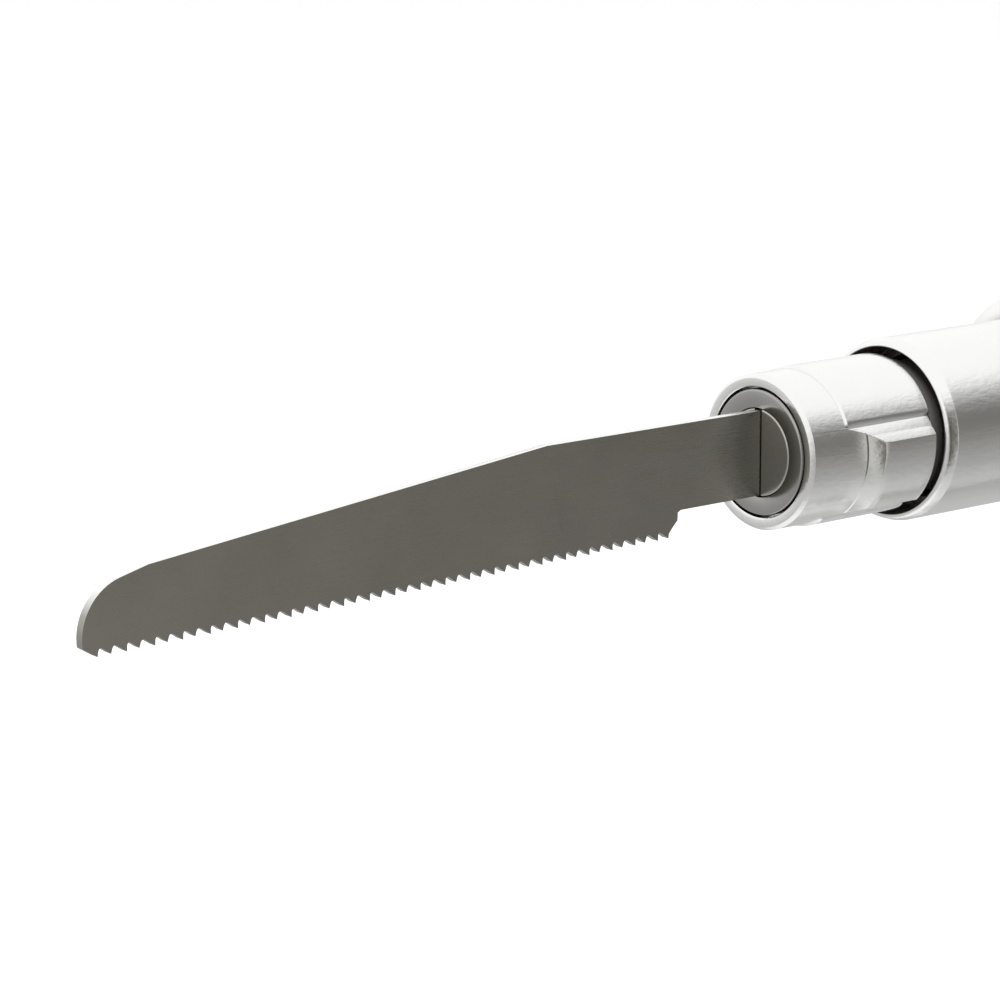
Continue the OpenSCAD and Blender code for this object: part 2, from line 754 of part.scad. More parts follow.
module follower_pin() {
    top = sqrt(pow(yoke_out_r, 2) - pow(follower_r, 2)) - run_fit;
    color(bright) along(follower_x) rotate([0, -90, 0]) translate([0, 0, follower_tip_r])
        cylinder(r = follower_r, h = top - follower_tip_r);
}

// Cam: the groove moves evenly along the drum over the turn that the stroke uses, and rounds off beyond it
function cam_fold(a) = a > 90 ? 180 - a : (a < -90 ? -180 - a : a);
function cam_even(a) =
    let (turn_back = 90 - cam_turn, top = half_stroke + cam_rate * turn_back / 2)
    a > cam_turn ? top - cam_rate * pow(90 - a, 2) / (2 * turn_back)
        : (a < -cam_turn ? -top + cam_rate * pow(90 + a, 2) / (2 * turn_back) : cam_rate * a);
function cam_shift(a) = cam_even(cam_fold(a));

module cam_drum() {
    middle = drum_len / 2;
    floor_r = drum_r - groove_depth;
    half_w = groove_w / 2;
    count = 8;
    function ring_points(a) = let (s = middle - cam_shift(a)) [[drum_bore_r, 0], [drum_r, 0],
        [drum_r, s - half_w], [floor_r, s - half_w], [floor_r, s + half_w], [drum_r, s + half_w],
        [drum_r, drum_len], [drum_bore_r, drum_len]];
    points = [for (i = [0:cam_steps - 1]) let (a = 360 * i / cam_steps - 180, ring = ring_points(a))
        for (p = ring) [-p[0] * cos(a), p[0] * sin(a), p[1]]];
    faces = [for (i = [0:cam_steps - 1], k = [0:count - 1], half = [0, 1])
        let (p = i * count, q = (i + 1) % cam_steps * count, n = (k + 1) % count)
        half == 0 ? [p + k, q + n, q + k] : [p + k, p + n, q + n]];
    color(dark_steel) along(drum_x) polyhedron(points, faces);
}

module rotor_shaft() color(bright)
    turned([[0, shaft_x0], [shaft_r - edge, shaft_x0], [shaft_r, shaft_x0 + edge], [shaft_r, shaft_x1 - edge],
        [shaft_r - edge, shaft_x1], [0, shaft_x1]]);

// Bearings
bearing_places = [front_bearing_x, rear_bearing_x];

module bearing_inner_races() color(bright) for (x = bearing_places)
    tube(shaft_r + static_fit, shaft_r + static_fit + race_t, x, x + race_w);

module bearing_outer_races() color(bright) for (x = bearing_places)
    tube(outer_race_in_r, outer_race_r, x, x + race_w);

module bearing_balls() color(bright) for (x = bearing_places, i = [0:balls - 1])
    along(x + race_w / 2) rotate([0, 0, 360 * i / balls]) translate([ball_ring_r, 0, 0])
    sphere(ball_r, $fn = ball_facets);

module bearing_plate() color(satin) turned([[outer_race_r - race_lip, plate_x + race_w + 2 * step_eps],
    [outer_race_r + static_fit, plate_x + race_w + 2 * step_eps],
    [outer_race_r + static_fit, plate_x + step_eps],
    [nose_spigot_r - static_fit, plate_x + step_eps], [nose_spigot_r - static_fit, lip_x - step_eps],
    [outer_race_r - race_lip, lip_x - step_eps]]);

// Motor
module stator_section() {
    difference() {
        circle(stator_r - static_fit);
        circle(stator_yoke_r);
    }
    difference() {
        for (i = [0:teeth_n - 1]) rotate(360 * i / teeth_n) {
            translate([0, -tooth_w / 2]) square([stator_yoke_r + tooth_root, tooth_w]);
            translate([stator_bore_r - over, -tooth_tip_w / 2]) square([tooth_tip_t + over, tooth_tip_w]);
        }
        circle(stator_bore_r);
    }
}

module stator_core() color(dark_steel) along(stator_x) linear_extrude(stator_len) stator_section();

module stator_windings() {
    r0 = stator_bore_r + tooth_tip_t + play;
    length = stator_len + 2 * winding_over;
    hole_w = tooth_w + 2 * spring_seat;
    hole_l = stator_len + 2 * spring_seat;
    color(copper) along(stator_x - winding_over) for (i = [0:teeth_n - 1]) rotate([0, 0, 360 * i / teeth_n])
        difference() {
            translate([r0, -coil_w / 2, 0]) cube([coil_out_r - r0, coil_w, length]);
            translate([r0 - over, -hole_w / 2, winding_over - spring_seat])
                cube([coil_out_r - r0 + 2 * over, hole_w, hole_l]);
        }
}

module rotor_core() color(dark_steel) tube(shaft_r + static_fit, rotor_r, stator_x, stator_x1);

module rotor_magnets() color(bright) difference() {
    tube(rotor_r + static_fit, magnet_r, stator_x + magnet_inset, stator_x1 - magnet_inset);
    for (a = [0, 90]) along(stator_x) rotate([0, 0, a]) translate([-head_r, -magnet_gap / 2, 0])
        cube([2 * head_r, magnet_gap, stator_len]);
}

// Body with the grip
function swell(t) = pow(sin(180 * t), 2);

module grip_side() {
    z0 = grip_z0 - over;
    z1 = axis_h;
    half = grip_l / 2 - waist;
    polygon(concat(
        [for (i = [0:swell_steps]) let (t = i / swell_steps)
            [-half - swell_front * swell(t), z0 + (z1 - z0) * t]],
        [for (i = [swell_steps:-1:0]) let (t = i / swell_steps)
            [half + swell_back * swell(t), z0 + (z1 - z0) * t]]));
}

module grip_shape() intersection() {
    block(grip_l + 2 * swell_back, grip_w, grip_z0 - over, axis_h, grip_w / 2 - edge);
    translate([0, grip_w, 0]) rotate([90, 0, 0]) linear_extrude(2 * grip_w) grip_side();
}

module foot_flare() {
    top_z = grip_z0 + flare_h;
    hull() {
        block(pack_l, pack_w, grip_z0 - hull_plate, grip_z0, foot_corner, $fn = flare_facets);
        block(grip_l - 2 * waist, grip_w, top_z - hull_plate, top_z, grip_w / 2 - edge, $fn = flare_facets);
    }
}

module trigger_section(grow) translate([trigger_z, 0])
    rounded_rect(trigger_h + 2 * grow, trigger_w + 2 * grow, trigger_w / 2 + grow - edge);

// Extrudes a drawing of [height, sideways] along the grip's front-back direction
module frontward(x0, x1) translate([x0, 0, 0]) rotate([0, 90, 0]) mirror([1, 0, 0]) linear_extrude(x1 - x0)
    children();

module rail_slot() {
    length = pack_l + rail_x1 + rail_gap;
    translate([-pack_l, -rail_w / 2 - rail_gap, foot_z - over])
        cube([length, rail_w + 2 * rail_gap, rail_t + rail_flange_t + rail_gap + over]);
    translate([-pack_l, -rail_flange_w / 2 - rail_gap, foot_z + rail_t - rail_gap])
        cube([length, rail_flange_w + 2 * rail_gap, rail_flange_t + 2 * rail_gap]);
}

module body_housing() {
    rib_x0 = bush_x0 + rib_inset;
    rib_x1 = bush_x1 - rib_inset;
    color(satin) difference() {
        union() {
            turned([[0, seam_x + step_eps], [head_r, seam_x + step_eps], [head_r, cap_x], [0, cap_x]]);
            grip_shape();
            block(pack_l, pack_w, foot_z + step_eps, grip_z0, foot_corner);
            foot_flare();
        }
        turned([[0, seam_x - over], [nose_spigot_r + static_fit, seam_x - over],
            [nose_spigot_r + static_fit, lip_x], [lip_r, lip_x], [lip_r, bay_x], [stator_r, bay_x],
            [stator_r, cap_x - cap_spigot - bore_step],
            [stator_r + static_fit, cap_x - cap_spigot - bore_step],
            [stator_r + static_fit, cap_x + over], [0, cap_x + over]]);
        at_cap_screws(cap_x - cap_screw_len + cap_wall)
            cylinder(r = cap_screw_r + static_fit, h = cap_screw_len);
        difference() {
            block(cavity_l, cavity_w, grip_z0 - cavity_floor, grip_top - bridge_t, cavity_w / 2 - edge);
            translate([rib_x0, -cavity_w / 2 - over, trigger_z - rib_h / 2])
                cube([rib_x1 - rib_x0, cavity_w + 2 * over, rib_h]);
            at_board_screws(board_y + board_t) cylinder(r = post_r, h = cavity_w);
        }
        at_board_screws(board_y) cylinder(r = board_screw_r + static_fit, h = board_screw_len);
        frontward(rib_x0 - over, rib_x1 + over) translate([trigger_z, 0]) circle(guide_r + static_fit);
        frontward(-grip_l, -cavity_l / 3) trigger_section(play);
        translate([safety_x, -grip_w, safety_z]) rotate([-90, 0, 0])
            cylinder(r = safety_shaft_r + run_fit, h = grip_w);
        translate([cavity_l / 4, 0, grip_top - bridge_t - over]) cylinder(r = lead_hole_r, h = head_r);
        rail_slot();
        at_terminals() translate([-terminal_w / 2 - play, -terminal_t / 2 - play, foot_z])
            cube([terminal_w + 2 * play, terminal_t + 2 * play, foot_t]);
        translate([latch_x0 - play, -latch_plate_w / 2 - play, foot_z - over])
            cube([latch_plate_t + 2 * play, latch_plate_w + 2 * play, latch_hook_h + play + over]);
    }
}

module at_cap_screws(x) along(x) for (a = cap_screw_angles) rotate([0, 0, a])
    translate([cap_screw_ring_r, 0, 0]) children();

module rear_cap() {
    dome = arc(head_r - cap_round, cap_x + cap_len - cap_round, cap_round, 0, 90, arc_steps);
    pocket_x1 = rear_bearing_x + race_w + step_eps;
    inner_r = outer_race_r + static_fit;
    color(satin) difference() {
        turned(concat([[cap_spigot_r, cap_x - cap_spigot], [cap_spigot_r, cap_x + step_eps],
            [head_r, cap_x + step_eps]], dome,
            [[0, cap_x + cap_len], [0, pocket_x1 + cap_pocket_past],
            [inner_r - race_lip, pocket_x1 + cap_pocket_past], [inner_r - race_lip, pocket_x1],
            [inner_r, pocket_x1], [inner_r, cap_x - cap_boss_inset],
            [cap_spigot_r - cap_spigot_wall, cap_x - cap_spigot]]));
        at_cap_screws(cap_x - over) cylinder(r = cap_screw_r + static_fit, h = cap_len);
        at_cap_screws(cap_x + cap_wall) cylinder(r = cap_screw_head_r + play, h = cap_len);
    }
}

module rear_seal() {
    x1 = cap_x - cap_spigot - step_eps;
    color(black) tube(stator_r - 2 * seal_wire_r, stator_r - run_fit, x1 - 2 * seal_wire_r, x1);
}

module cap_screws() color(bright) {
    at_cap_screws(cap_x + cap_wall - cap_screw_len + play) cylinder(r = cap_screw_r, h = cap_screw_len);
    at_cap_screws(cap_x + cap_wall + step_eps) cylinder(r = cap_screw_head_r, h = cap_screw_head_h);
}

// Trigger
module trigger() color(black) difference() {
    union() {
        frontward(trigger_front, trigger_back) trigger_section(0);
        frontward(trigger_back - over, stem_x1) translate([trigger_z, 0]) circle(stem_r);
    }
    translate([trigger_front - trigger_hollow_r + trigger_hollow, trigger_w, trigger_z]) rotate([90, 0, 0])
        cylinder(r = trigger_hollow_r, h = 2 * trigger_w, $fn = 2 * $fn);
    frontward(stem_x1 - magnet_len - static_fit, stem_x1 + over) translate([trigger_z, 0])
        circle(trigger_magnet_r + static_fit);
}

module trigger_bush() color(bronze) frontward(bush_x0, bush_x1) translate([trigger_z, 0]) difference() {
    circle(guide_r);
    circle(stem_r + run_fit);
}

module trigger_magnet() color(bright) frontward(stem_x1 - magnet_len, stem_x1) translate([trigger_z, 0])
    circle(trigger_magnet_r);

module trigger_spring() color(bright) translate([trigger_back + spring_seat, 0, trigger_z]) rotate([0, 90, 0])
    coil(stem_r + spring_wire + 2 * spring_seat, spring_wire, spring_pitch, spring_turns, coil_steps);

// Safety
module safety_knob() {
    y0 = -grip_w / 2 - play;
    color(black) translate([safety_x, y0, safety_z]) rotate([90, 0, 0]) difference() {
        union() {
            cylinder(r = safety_knob_r, h = safety_knob_t);
            translate([-safety_tab_w / 2, -safety_tab_w / 2, 0])
                cube([safety_knob_r + safety_tab_past + safety_tab_w / 2, safety_tab_w,
                    safety_knob_t + safety_tab_rise]);
        }
        translate([0, 0, -over])
            cylinder(r = safety_shaft_r + static_fit, h = safety_knob_t / 2 + over);
    }
}

module safety_shaft() {
    in_knob = play + safety_knob_t / 2 - step_eps;
    color(bright) translate([safety_x, -grip_w / 2 - in_knob, safety_z]) rotate([-90, 0, 0])
        cylinder(r = safety_shaft_r, h = in_knob + grip_wall + safety_in);
}

// Electronics, on a board that stands beside the trigger's stem
module at_board_screws(y) for (x = [-1, 1])
    translate([x * board_l / 3, y, board_z0 + board_h / 2]) rotate([-90, 0, 0]) children();

module control_board() color(green) difference() {
    translate([0, board_y + board_t, 0]) rotate([90, 0, 0]) linear_extrude(board_t) {
        translate([-board_l / 2, board_z0]) square([board_l, board_h]);
        translate([board_l / 2 - board_neck_w, board_z0])
            square([board_neck_w, trigger_z - board_z0 + board_neck_past]);
    }
    at_board_screws(board_y - over) cylinder(r = board_screw_r + static_fit, h = board_t + 2 * over);
}

// Chips and capacitors: where their middles sit on the board, as shares of its length and height, then their
// length, height and thickness as shares of the board's length
part_shares = [[0.3, 0.2], [0.72, 0.18], [0.25, 0.8], [0.55, 0.8]];
part_size_shares = [[0.36, 0.32, 0.1], [0.24, 0.24, 0.08], [0.2, 0.2, 0.13], [0.2, 0.2, 0.13]];

module board_parts() color(black) {
    for (i = [0:len(part_shares) - 1]) {
        size = part_size_shares[i] * board_l;
        place = part_shares[i];
        translate([place[0] * board_l - board_l / 2 - size[0] / 2, board_y - size[2] - step_eps,
            board_z0 + place[1] * board_h - size[1] / 2]) cube([size[0], size[2], size[1]]);
    }
    translate([board_l / 2 - sensor_l - play, board_y - sensor_t - step_eps, trigger_z - sensor_l / 2])
        cube([sensor_l, sensor_t, sensor_l]);
}

module board_screws() color(bright) at_board_screws(board_y - board_head_h - step_eps) {
    cylinder(r = board_head_r, h = board_head_h);
    cylinder(r = board_screw_r, h = board_head_h + board_screw_len - play);
}

// Battery contacts
module at_terminals() for (i = [0:terminals - 1])
    translate([0, (i - (terminals - 1) / 2) * terminal_pitch, 0]) children();

module terminal_block() {
    z0 = grip_z0 - cavity_floor + step_eps;
    color(black) difference() {
        block(terminal_block_l, terminal_block_w, z0, z0 + terminal_block_h, edge);
        at_terminals() translate([-terminal_w / 2 - static_fit, -terminal_t / 2 - static_fit, z0 - over])
            cube([terminal_w + 2 * static_fit, terminal_t + 2 * static_fit, terminal_block_h + 2 * over]);
    }
}

module terminal_blades() color(bronze) at_terminals()
    translate([-terminal_w / 2, -terminal_t / 2, foot_z - terminal_past])
    cube([terminal_w, terminal_t, foot_t + terminal_block_h + terminal_past]);

// Battery
module at_base_screws(z) for (x = [-1, 1], y = [-1, 1])
    translate([x * (pack_l / 2 - base_screw_inset), y * (pack_w / 2 - base_screw_inset), z]) children();

module battery_case() {
    inner_l = pack_l - 2 * pack_wall;
    inner_w = pack_w - 2 * pack_wall;
    shelf_x0 = latch_x0 + latch_plate_t + play;
    color(satin) difference() {
        union() {
            block(pack_l, pack_w, base_t + step_eps, foot_z, pack_corner);
            translate([rail_x0, -rail_w / 2, foot_z - over])
                cube([rail_x1 - rail_x0, rail_w, rail_t + 2 * over]);
            translate([rail_x0, -rail_flange_w / 2, foot_z + rail_t])
                cube([rail_x1 - rail_x0, rail_flange_w, rail_flange_t]);
        }
        difference() {
            block(inner_l, inner_w, base_t - over, foot_z - case_top, pack_corner - pack_wall);
            at_base_screws(0) cylinder(r = base_post_r, h = foot_z);
            translate([shelf_x0, -latch_button_w / 2, latch_shelf_z - latch_shelf_t])
                cube([pack_l / 2 - shelf_x0, latch_button_w, latch_shelf_t]);
        }
        at_base_screws(0) cylinder(r = base_screw_r + static_fit, h = base_t + base_screw_len);
        at_terminals() translate([-terminal_w / 2 - play, -terminal_t / 2 - play, foot_z - case_top - over])
            cube([rail_x1 + over + terminal_w / 2 + play, terminal_t + 2 * play,
                case_top + rail_t + rail_flange_t + 2 * over]);
        translate([latch_x0 - play, -latch_plate_w / 2 - play, foot_z - case_top - over])
            cube([latch_plate_t + 2 * play, latch_plate_w + 2 * play, case_top + 2 * over]);
        translate([pack_l / 2 - pack_wall - over, -latch_button_w / 2 - play,
            latch_button_z1 - latch_button_h - latch_travel - play])
            cube([pack_wall + 2 * over, latch_button_w + 2 * play, latch_button_h + latch_travel + 2 * play]);
    }
}

module battery_base() color(satin) difference() {
    block(pack_l, pack_w, 0, base_t, pack_corner);
    at_base_screws(-over) cylinder(r = base_screw_r + static_fit, h = base_t + 2 * over);
    at_base_screws(-over) cylinder(r = base_head_r + play, h = base_head_h + play + over);
}

module battery_screws() color(bright) {
    at_base_screws(play) cylinder(r = base_head_r, h = base_head_h - step_eps);
    at_base_screws(play) cylinder(r = base_screw_r, h = base_screw_len);
}

module battery_cells() color(blue) for (y = [-1, 1], layer = [0, 1])
    translate([cell_x0, y * cell_y, cell_z0 + layer * 2 * cell_y]) rotate([0, 90, 0])
    cylinder(r = cell_r, h = cell_l);

module cell_links() color(bright) {
    for (y = [-1, 1]) translate([cell_x0 - link_t - step_eps, y * cell_y - link_w / 2, cell_z0 - link_w / 2])
        cube([link_t, link_w, 2 * cell_y + link_w]);
    translate([cell_x0 + cell_l + step_eps, -cell_y - link_w / 2, cell_z0 - link_w / 2])
        cube([link_t, 2 * cell_y + link_w, link_w]);
}

module battery_latch() {
    z0 = latch_button_z1 - latch_button_h;
    color(black) {
        translate([latch_x0, -latch_plate_w / 2, z0])
            cube([latch_plate_t, latch_plate_w, foot_z + latch_hook_h - z0]);
        translate([latch_x0 + latch_plate_t - step_eps, -latch_button_w / 2, z0])
            cube([pack_l / 2 + latch_button_out - latch_x0 - latch_plate_t, latch_button_w, latch_button_h]);
    }
}

module latch_spring() {
    pitch = (latch_spring_room - 2 * spring_seat - 2 * latch_wire) / latch_turns;
    color(bright) translate([latch_x0 + latch_plate_t + play + latch_spring_r + latch_wire, 0,
        latch_shelf_z + spring_seat]) coil(latch_spring_r, latch_wire, pitch, latch_turns, coil_steps);
}

blade();
plunger();
chuck_sleeve();
collar();
barrel();
nose_housing();
lock_pin();
collar_clip();
collar_spring();
shaft_seal();
seal_retainer();
front_bush();
rear_bush();
yoke_liner();
guide_key();
follower_pin();
cam_drum();
rotor_shaft();
bearing_inner_races();
bearing_outer_races();
bearing_balls();
bearing_plate();
nose_seal();
body_housing();
stator_core();
stator_windings();
rotor_core();
rotor_magnets();
rear_cap();
rear_seal();
cap_screws();
trigger();
trigger_bush();
trigger_magnet();
trigger_spring();
safety_knob();
safety_shaft();
control_board();
board_parts();
board_screws();
terminal_block();
terminal_blades();
battery_case();
battery_base();
battery_screws();
battery_cells();
cell_links();
battery_latch();
latch_spring();
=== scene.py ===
import json
from math import atan2, cos, degrees, hypot, pi, radians, sin, tan

import bmesh
import bpy
from bpy.props import FloatProperty, FloatVectorProperty, IntProperty, PointerProperty
from mathutils import Euler, Matrix, Vector


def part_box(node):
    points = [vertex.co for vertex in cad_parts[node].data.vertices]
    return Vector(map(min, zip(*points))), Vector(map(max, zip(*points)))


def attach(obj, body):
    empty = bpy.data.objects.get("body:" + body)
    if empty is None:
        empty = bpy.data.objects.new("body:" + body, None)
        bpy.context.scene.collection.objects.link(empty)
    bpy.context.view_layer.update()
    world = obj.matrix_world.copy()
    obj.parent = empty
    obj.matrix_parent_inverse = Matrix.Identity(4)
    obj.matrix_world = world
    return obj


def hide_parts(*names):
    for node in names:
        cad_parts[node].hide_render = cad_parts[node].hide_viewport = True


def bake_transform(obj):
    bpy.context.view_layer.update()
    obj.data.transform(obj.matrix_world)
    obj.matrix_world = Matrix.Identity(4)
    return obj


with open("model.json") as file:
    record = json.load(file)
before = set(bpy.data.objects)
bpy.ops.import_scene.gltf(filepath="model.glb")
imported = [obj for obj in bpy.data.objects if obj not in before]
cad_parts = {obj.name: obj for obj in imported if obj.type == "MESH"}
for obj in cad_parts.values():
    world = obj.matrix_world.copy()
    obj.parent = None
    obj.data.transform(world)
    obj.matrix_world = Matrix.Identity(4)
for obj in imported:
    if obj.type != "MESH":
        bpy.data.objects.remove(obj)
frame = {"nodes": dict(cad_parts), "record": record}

bl_info = {
    "name": "Surgical Reciprocating Saw",
    "version": (1, 0, 0),
    "blender": (4, 5, 0),
    "location": "3D View > Sidebar > Saw",
    "description": "Makes the visible pieces and finishes of a battery bone saw on its CAD frame",
    "category": "Object",
}

MM = 0.001

# The chuck's face lies this far in front of the grip's middle, and the saw's axis this high
FACE_X = 114.518
AXIS_Z = 160.0

SIDE = Vector((0, 1, 0))
ALONG = Vector((1, 0, 0))
UP = Vector((0, 0, 1))

# In mm: gaps of pieces that slide, that fit and that touch, how far a cut overruns, and no way at all
SLIDE = 0.04
FIT = 0.02
HAIRLINE = 0.01
OVERRUN = 1.0
NEAR = 0.001


# Colours and sizes

def linear(hex_colour):
    """A linear RGBA colour from an sRGB hex value."""
    parts = [int(hex_colour[i:i + 2], 16) / 255 for i in (1, 3, 5)]
    return tuple(c / 12.92 if c <= 0.04045 else ((c + 0.055) / 1.055) ** 2.4 for c in parts) + (1.0,)


def colour(name, description, hex_colour):
    """A colour setting."""
    return FloatVectorProperty(name=name, description=description, subtype="COLOR", size=4, min=0, max=1,
                               default=linear(hex_colour))


def length(name, description, millimetres):
    """A length setting in metres, from its default in millimetres."""
    return FloatProperty(name=name, description=description, subtype="DISTANCE", unit="LENGTH", min=0,
                         precision=5, default=millimetres * MM)


class SawSizes(bpy.types.PropertyGroup):
    """Sizes of what the frame doesn't fix"""
    blade_edge: length("Blade edge", "Broken edge along the blade's spine", 0.06)
    collar_edge: length("Collar edge", "Rounding of the collar's turned corners", 0.07)
    ring_edge: length("Ring edge", "Rounding of the steel rings' corners", 0.06)
    shoulder_edge: length("Shoulder edge", "Rounding of the small corners of barrel and nose", 0.08)
    seam: length("Seam", "Chamfer where housing, nose and cap meet", 0.3)
    cast_grain: length("Casting detail", "Smallest detail of the cast housing", 0.75)
    moulded_detail: length("Moulded detail", "Smallest detail of the moulded controls", 0.35)
    pack_edge: length("Pack edge", "Rounding along the battery's upper edge", 1.2)
    around: IntProperty(name="Steps around", description="Facets round a turned piece", default=256, min=32)
    collar_around: IntProperty(name="Steps round the collar", description="Facets round the lobed collar",
                               default=720, min=360)


class SawColours(bpy.types.PropertyGroup):
    """Colours of the finishes"""
    anodised: colour("Anodised aluminium", "Natural satin anodising of collar, barrel and nose", "#F1F1EF")
    cast: colour("Cast aluminium", "Blasted housing and cap", "#EDEDEB")
    pack: colour("Battery shell", "Extruded and anodised battery shell", "#DADBDB")
    ring_steel: colour("Turned steel", "Sleeve round the plunger", "#AAA9A6")
    # Also the painted shade in the barrel's bore: dark grey standing in for the shade inside the mouth.
    scale: colour("Hardening scale", "Black oxide left on the sleeve's neck", "#5C5956")
    screw_steel: colour("Polished steel", "Screws, pins and shafts", "#D2D1CD")
    rod_steel: colour("Hardened steel", "Plunger and other dark steel parts", "#B6B5B0")
    blade_steel: colour("Blade steel", "Ground stainless blade", "#AAA8A0")
    # Painted highlight: this near-white is painted on the blade's upward faces, chiefly the spine.
    blade_back: colour("Blade back", "Polished back of the blade", "#F4F4F2")
    nylon: colour("Moulded nylon", "Trigger, safety and latch", "#222325")
    silicone: colour("Silicone rubber", "Seals", "#1A1A1C")
    bronze: colour("Sintered bronze", "Bushes and liners", "#B58A4C")
    brass: colour("Contact brass", "Terminals and cell links", "#D8B765")
    copper: colour("Enamelled copper", "Motor windings", "#B4622F")
    board: colour("Board laminate", "Green lacquer of the control board", "#1E5A37")
    sleeve_blue: colour("Cell sleeve", "Shrink sleeve of the cells", "#3B6EA5")
    floor: colour("Floor", "Pale studio floor", "#F7F7F7")


def sizes():
    return bpy.context.scene.saw_sizes


def colours():
    return bpy.context.scene.saw_colours


# Materials

def add_node(tree, kind, inputs=None, stops=(), **settings):
    """Adds a node with its settings, its colour stops, and its inputs: values, or other nodes' outputs."""
    node = tree.nodes.new(kind)
    for key, value in settings.items():
        setattr(node, key, value)
    if stops:
        elements = node.color_ramp.elements
        while len(elements) < len(stops):
            elements.new(0.5)
        for element, (place, value) in zip(elements, stops):
            element.position = place
            element.color = value if isinstance(value, tuple) else (value, value, value, 1)
    for key, value in (inputs or {}).items():
        if isinstance(value, bpy.types.NodeSocket):
            tree.links.new(value, node.inputs[key])
        else:
            node.inputs[key].default_value = value
    return node


def blank_material(name):
    """An empty node material and its tree."""
    material = bpy.data.materials.new(name)
    material.use_nodes = True
    material.node_tree.nodes.clear()
    return material, material.node_tree


def surface(name, base, rough, spread, tint, depth, stretch, grain, cloud, shading):
    """A material whose tone drifts with a cloud, and whose roughness and height follow a stretched grain.
    Grain and cloud are the inputs of their noises, the depth is in mm."""
    material, tree = blank_material(name)
    place = add_node(tree, "ShaderNodeTexCoord").outputs["Object"]
    drawn = add_node(tree, "ShaderNodeMapping", {"Vector": place, "Scale": stretch}, vector_type="POINT")
    fine = add_node(tree, "ShaderNodeTexNoise", {"Vector": drawn.outputs[0], **grain}).outputs["Fac"]
    drift = add_node(tree, "ShaderNodeTexNoise", {"Vector": place, **cloud}).outputs["Fac"]
    tone = add_node(tree, "ShaderNodeValToRGB", {"Fac": drift}, stops=[(0.3, 1 - tint), (0.7, 1.0)])
    paint = add_node(tree, "ShaderNodeMix", {0: 1.0, 6: base, 7: tone.outputs["Color"]},
                     data_type="RGBA", blend_type="MULTIPLY")
    worn = add_node(tree, "ShaderNodeMapRange", {0: fine, 1: 0.3, 2: 0.7, 3: rough - spread,
                                                 4: rough + spread})
    bump = add_node(tree, "ShaderNodeBump", {"Height": fine, "Strength": 1.0, "Distance": depth * MM})
    shader = add_node(tree, "ShaderNodeBsdfPrincipled",
                      {"Base Color": paint.outputs[2], "Roughness": worn.outputs[0],
                       "Normal": bump.outputs[0], **shading})
    add_node(tree, "ShaderNodeOutputMaterial", {"Surface": shader.outputs[0]})
    return material


def metal(name, base, rough, grain_mm, stretch=(1, 1, 1), depth=0.002, spread=0.05, tint=0.06):
    """A metal with a fine surface grain and faint uneven tone."""
    return surface(name, base, rough, spread, tint, depth, stretch,
                   {"Scale": 1 / (grain_mm * MM), "Detail": 2.0, "Roughness": 0.6},
                   {"Scale": 1 / (9 * MM), "Detail": 3.0}, {"Metallic": 1.0})


def moulding(name, base, rough, ior, texture_mm, depth, spread=0.06, tint=0.2, coat=0.0):
    """A plastic, rubber, lacquer or sleeve with a moulded or sprayed surface texture."""
    return surface(name, base, rough, spread, tint, depth, (1, 1, 1),
                   {"Scale": 1 / (texture_mm * MM), "Detail": 3.0},
                   {"Scale": 1 / (7 * MM), "Detail": 2.0}, {"IOR": ior, "Coat Weight": coat})


def shader_input(material, name):
    """A shader's input, and what feeds it."""
    socket = material.node_tree.nodes["Principled BSDF"].inputs[name]
    return socket, socket.links[0].from_socket if socket.is_linked else socket.default_value


def overlay(material, mask, **changes):
    """Blends a material's shader into other settings where a mask is 1."""
    tree = material.node_tree
    for name, value in changes.items():
        socket, before = shader_input(material, name.replace("_", " "))
        kind, first, second, result = ("RGBA", 6, 7, 2) if socket.type == "RGBA" else ("FLOAT", 2, 3, 0)
        blend = add_node(tree, "ShaderNodeMix", {0: mask, first: before, second: value}, data_type=kind)
        tree.links.new(blend.outputs[result], socket)
    return material


def mottled(material, size, depth):
    """Lays a faint waviness of size mm, drawn out along the saw, over a material's own grain."""
    tree = material.node_tree
    socket, before = shader_input(material, "Normal")
    place = add_node(tree, "ShaderNodeTexCoord").outputs["Object"]
    drawn = add_node(tree, "ShaderNodeMapping", {"Vector": place, "Scale": (0.45, 1, 1)}, vector_type="POINT")
    waves = add_node(tree, "ShaderNodeTexNoise", {"Vector": drawn.outputs[0], "Scale": 1 / (size * MM),
                                                  "Detail": 2.0, "Roughness": 0.6})
    bump = add_node(tree, "ShaderNodeBump", {"Height": waves.outputs["Fac"], "Normal": before,
                                             "Strength": 1.0, "Distance": depth * MM})
    tree.links.new(bump.outputs[0], socket)
    return material


def satin_anodised_aluminium(name="satin_anodised_aluminium"):
    """Aluminium turned, bead blasted and anodised clear: a silky white-grey metal whose reflections blur
    evenly, with a blast grain of about 0.05 mm, drawn at 0.11 mm to show, over a faint waviness."""
    plain = metal(name, colours().anodised, 0.21, 0.11, depth=0.003, spread=0.03, tint=0.03)
    return mottled(plain, 0.6, 0.03)


def bore_shaded_anodised_aluminium():
    """The same satin anodised aluminium, with painted shade in the mouth's bore: painted dark grey and dull
    there.
    """
    material = satin_anodised_aluminium("bore_shaded_anodised_aluminium")
    tree = material.node_tree
    place = add_node(tree, "ShaderNodeTexCoord").outputs["Object"]
    across = add_node(tree, "ShaderNodeMapping", {"Vector": place, "Location": (0, 0, -AXIS_Z * MM),
                                                  "Scale": (0, 1, 1)}, vector_type="POINT")
    radius = add_node(tree, "ShaderNodeVectorMath", {0: across.outputs[0]}, operation="LENGTH")
    # Painted shade: inside the mouth's radius the colour turns dark grey and the surface dull.
    bore = add_node(tree, "ShaderNodeMapRange", {0: radius.outputs["Value"], 1: (MOUTH_R + 0.1) * MM,
                                                 2: (MOUTH_R + 0.06) * MM}).outputs[0]
    return overlay(material, bore, Base_Color=colours().scale, Roughness=0.6, Metallic=0.0)


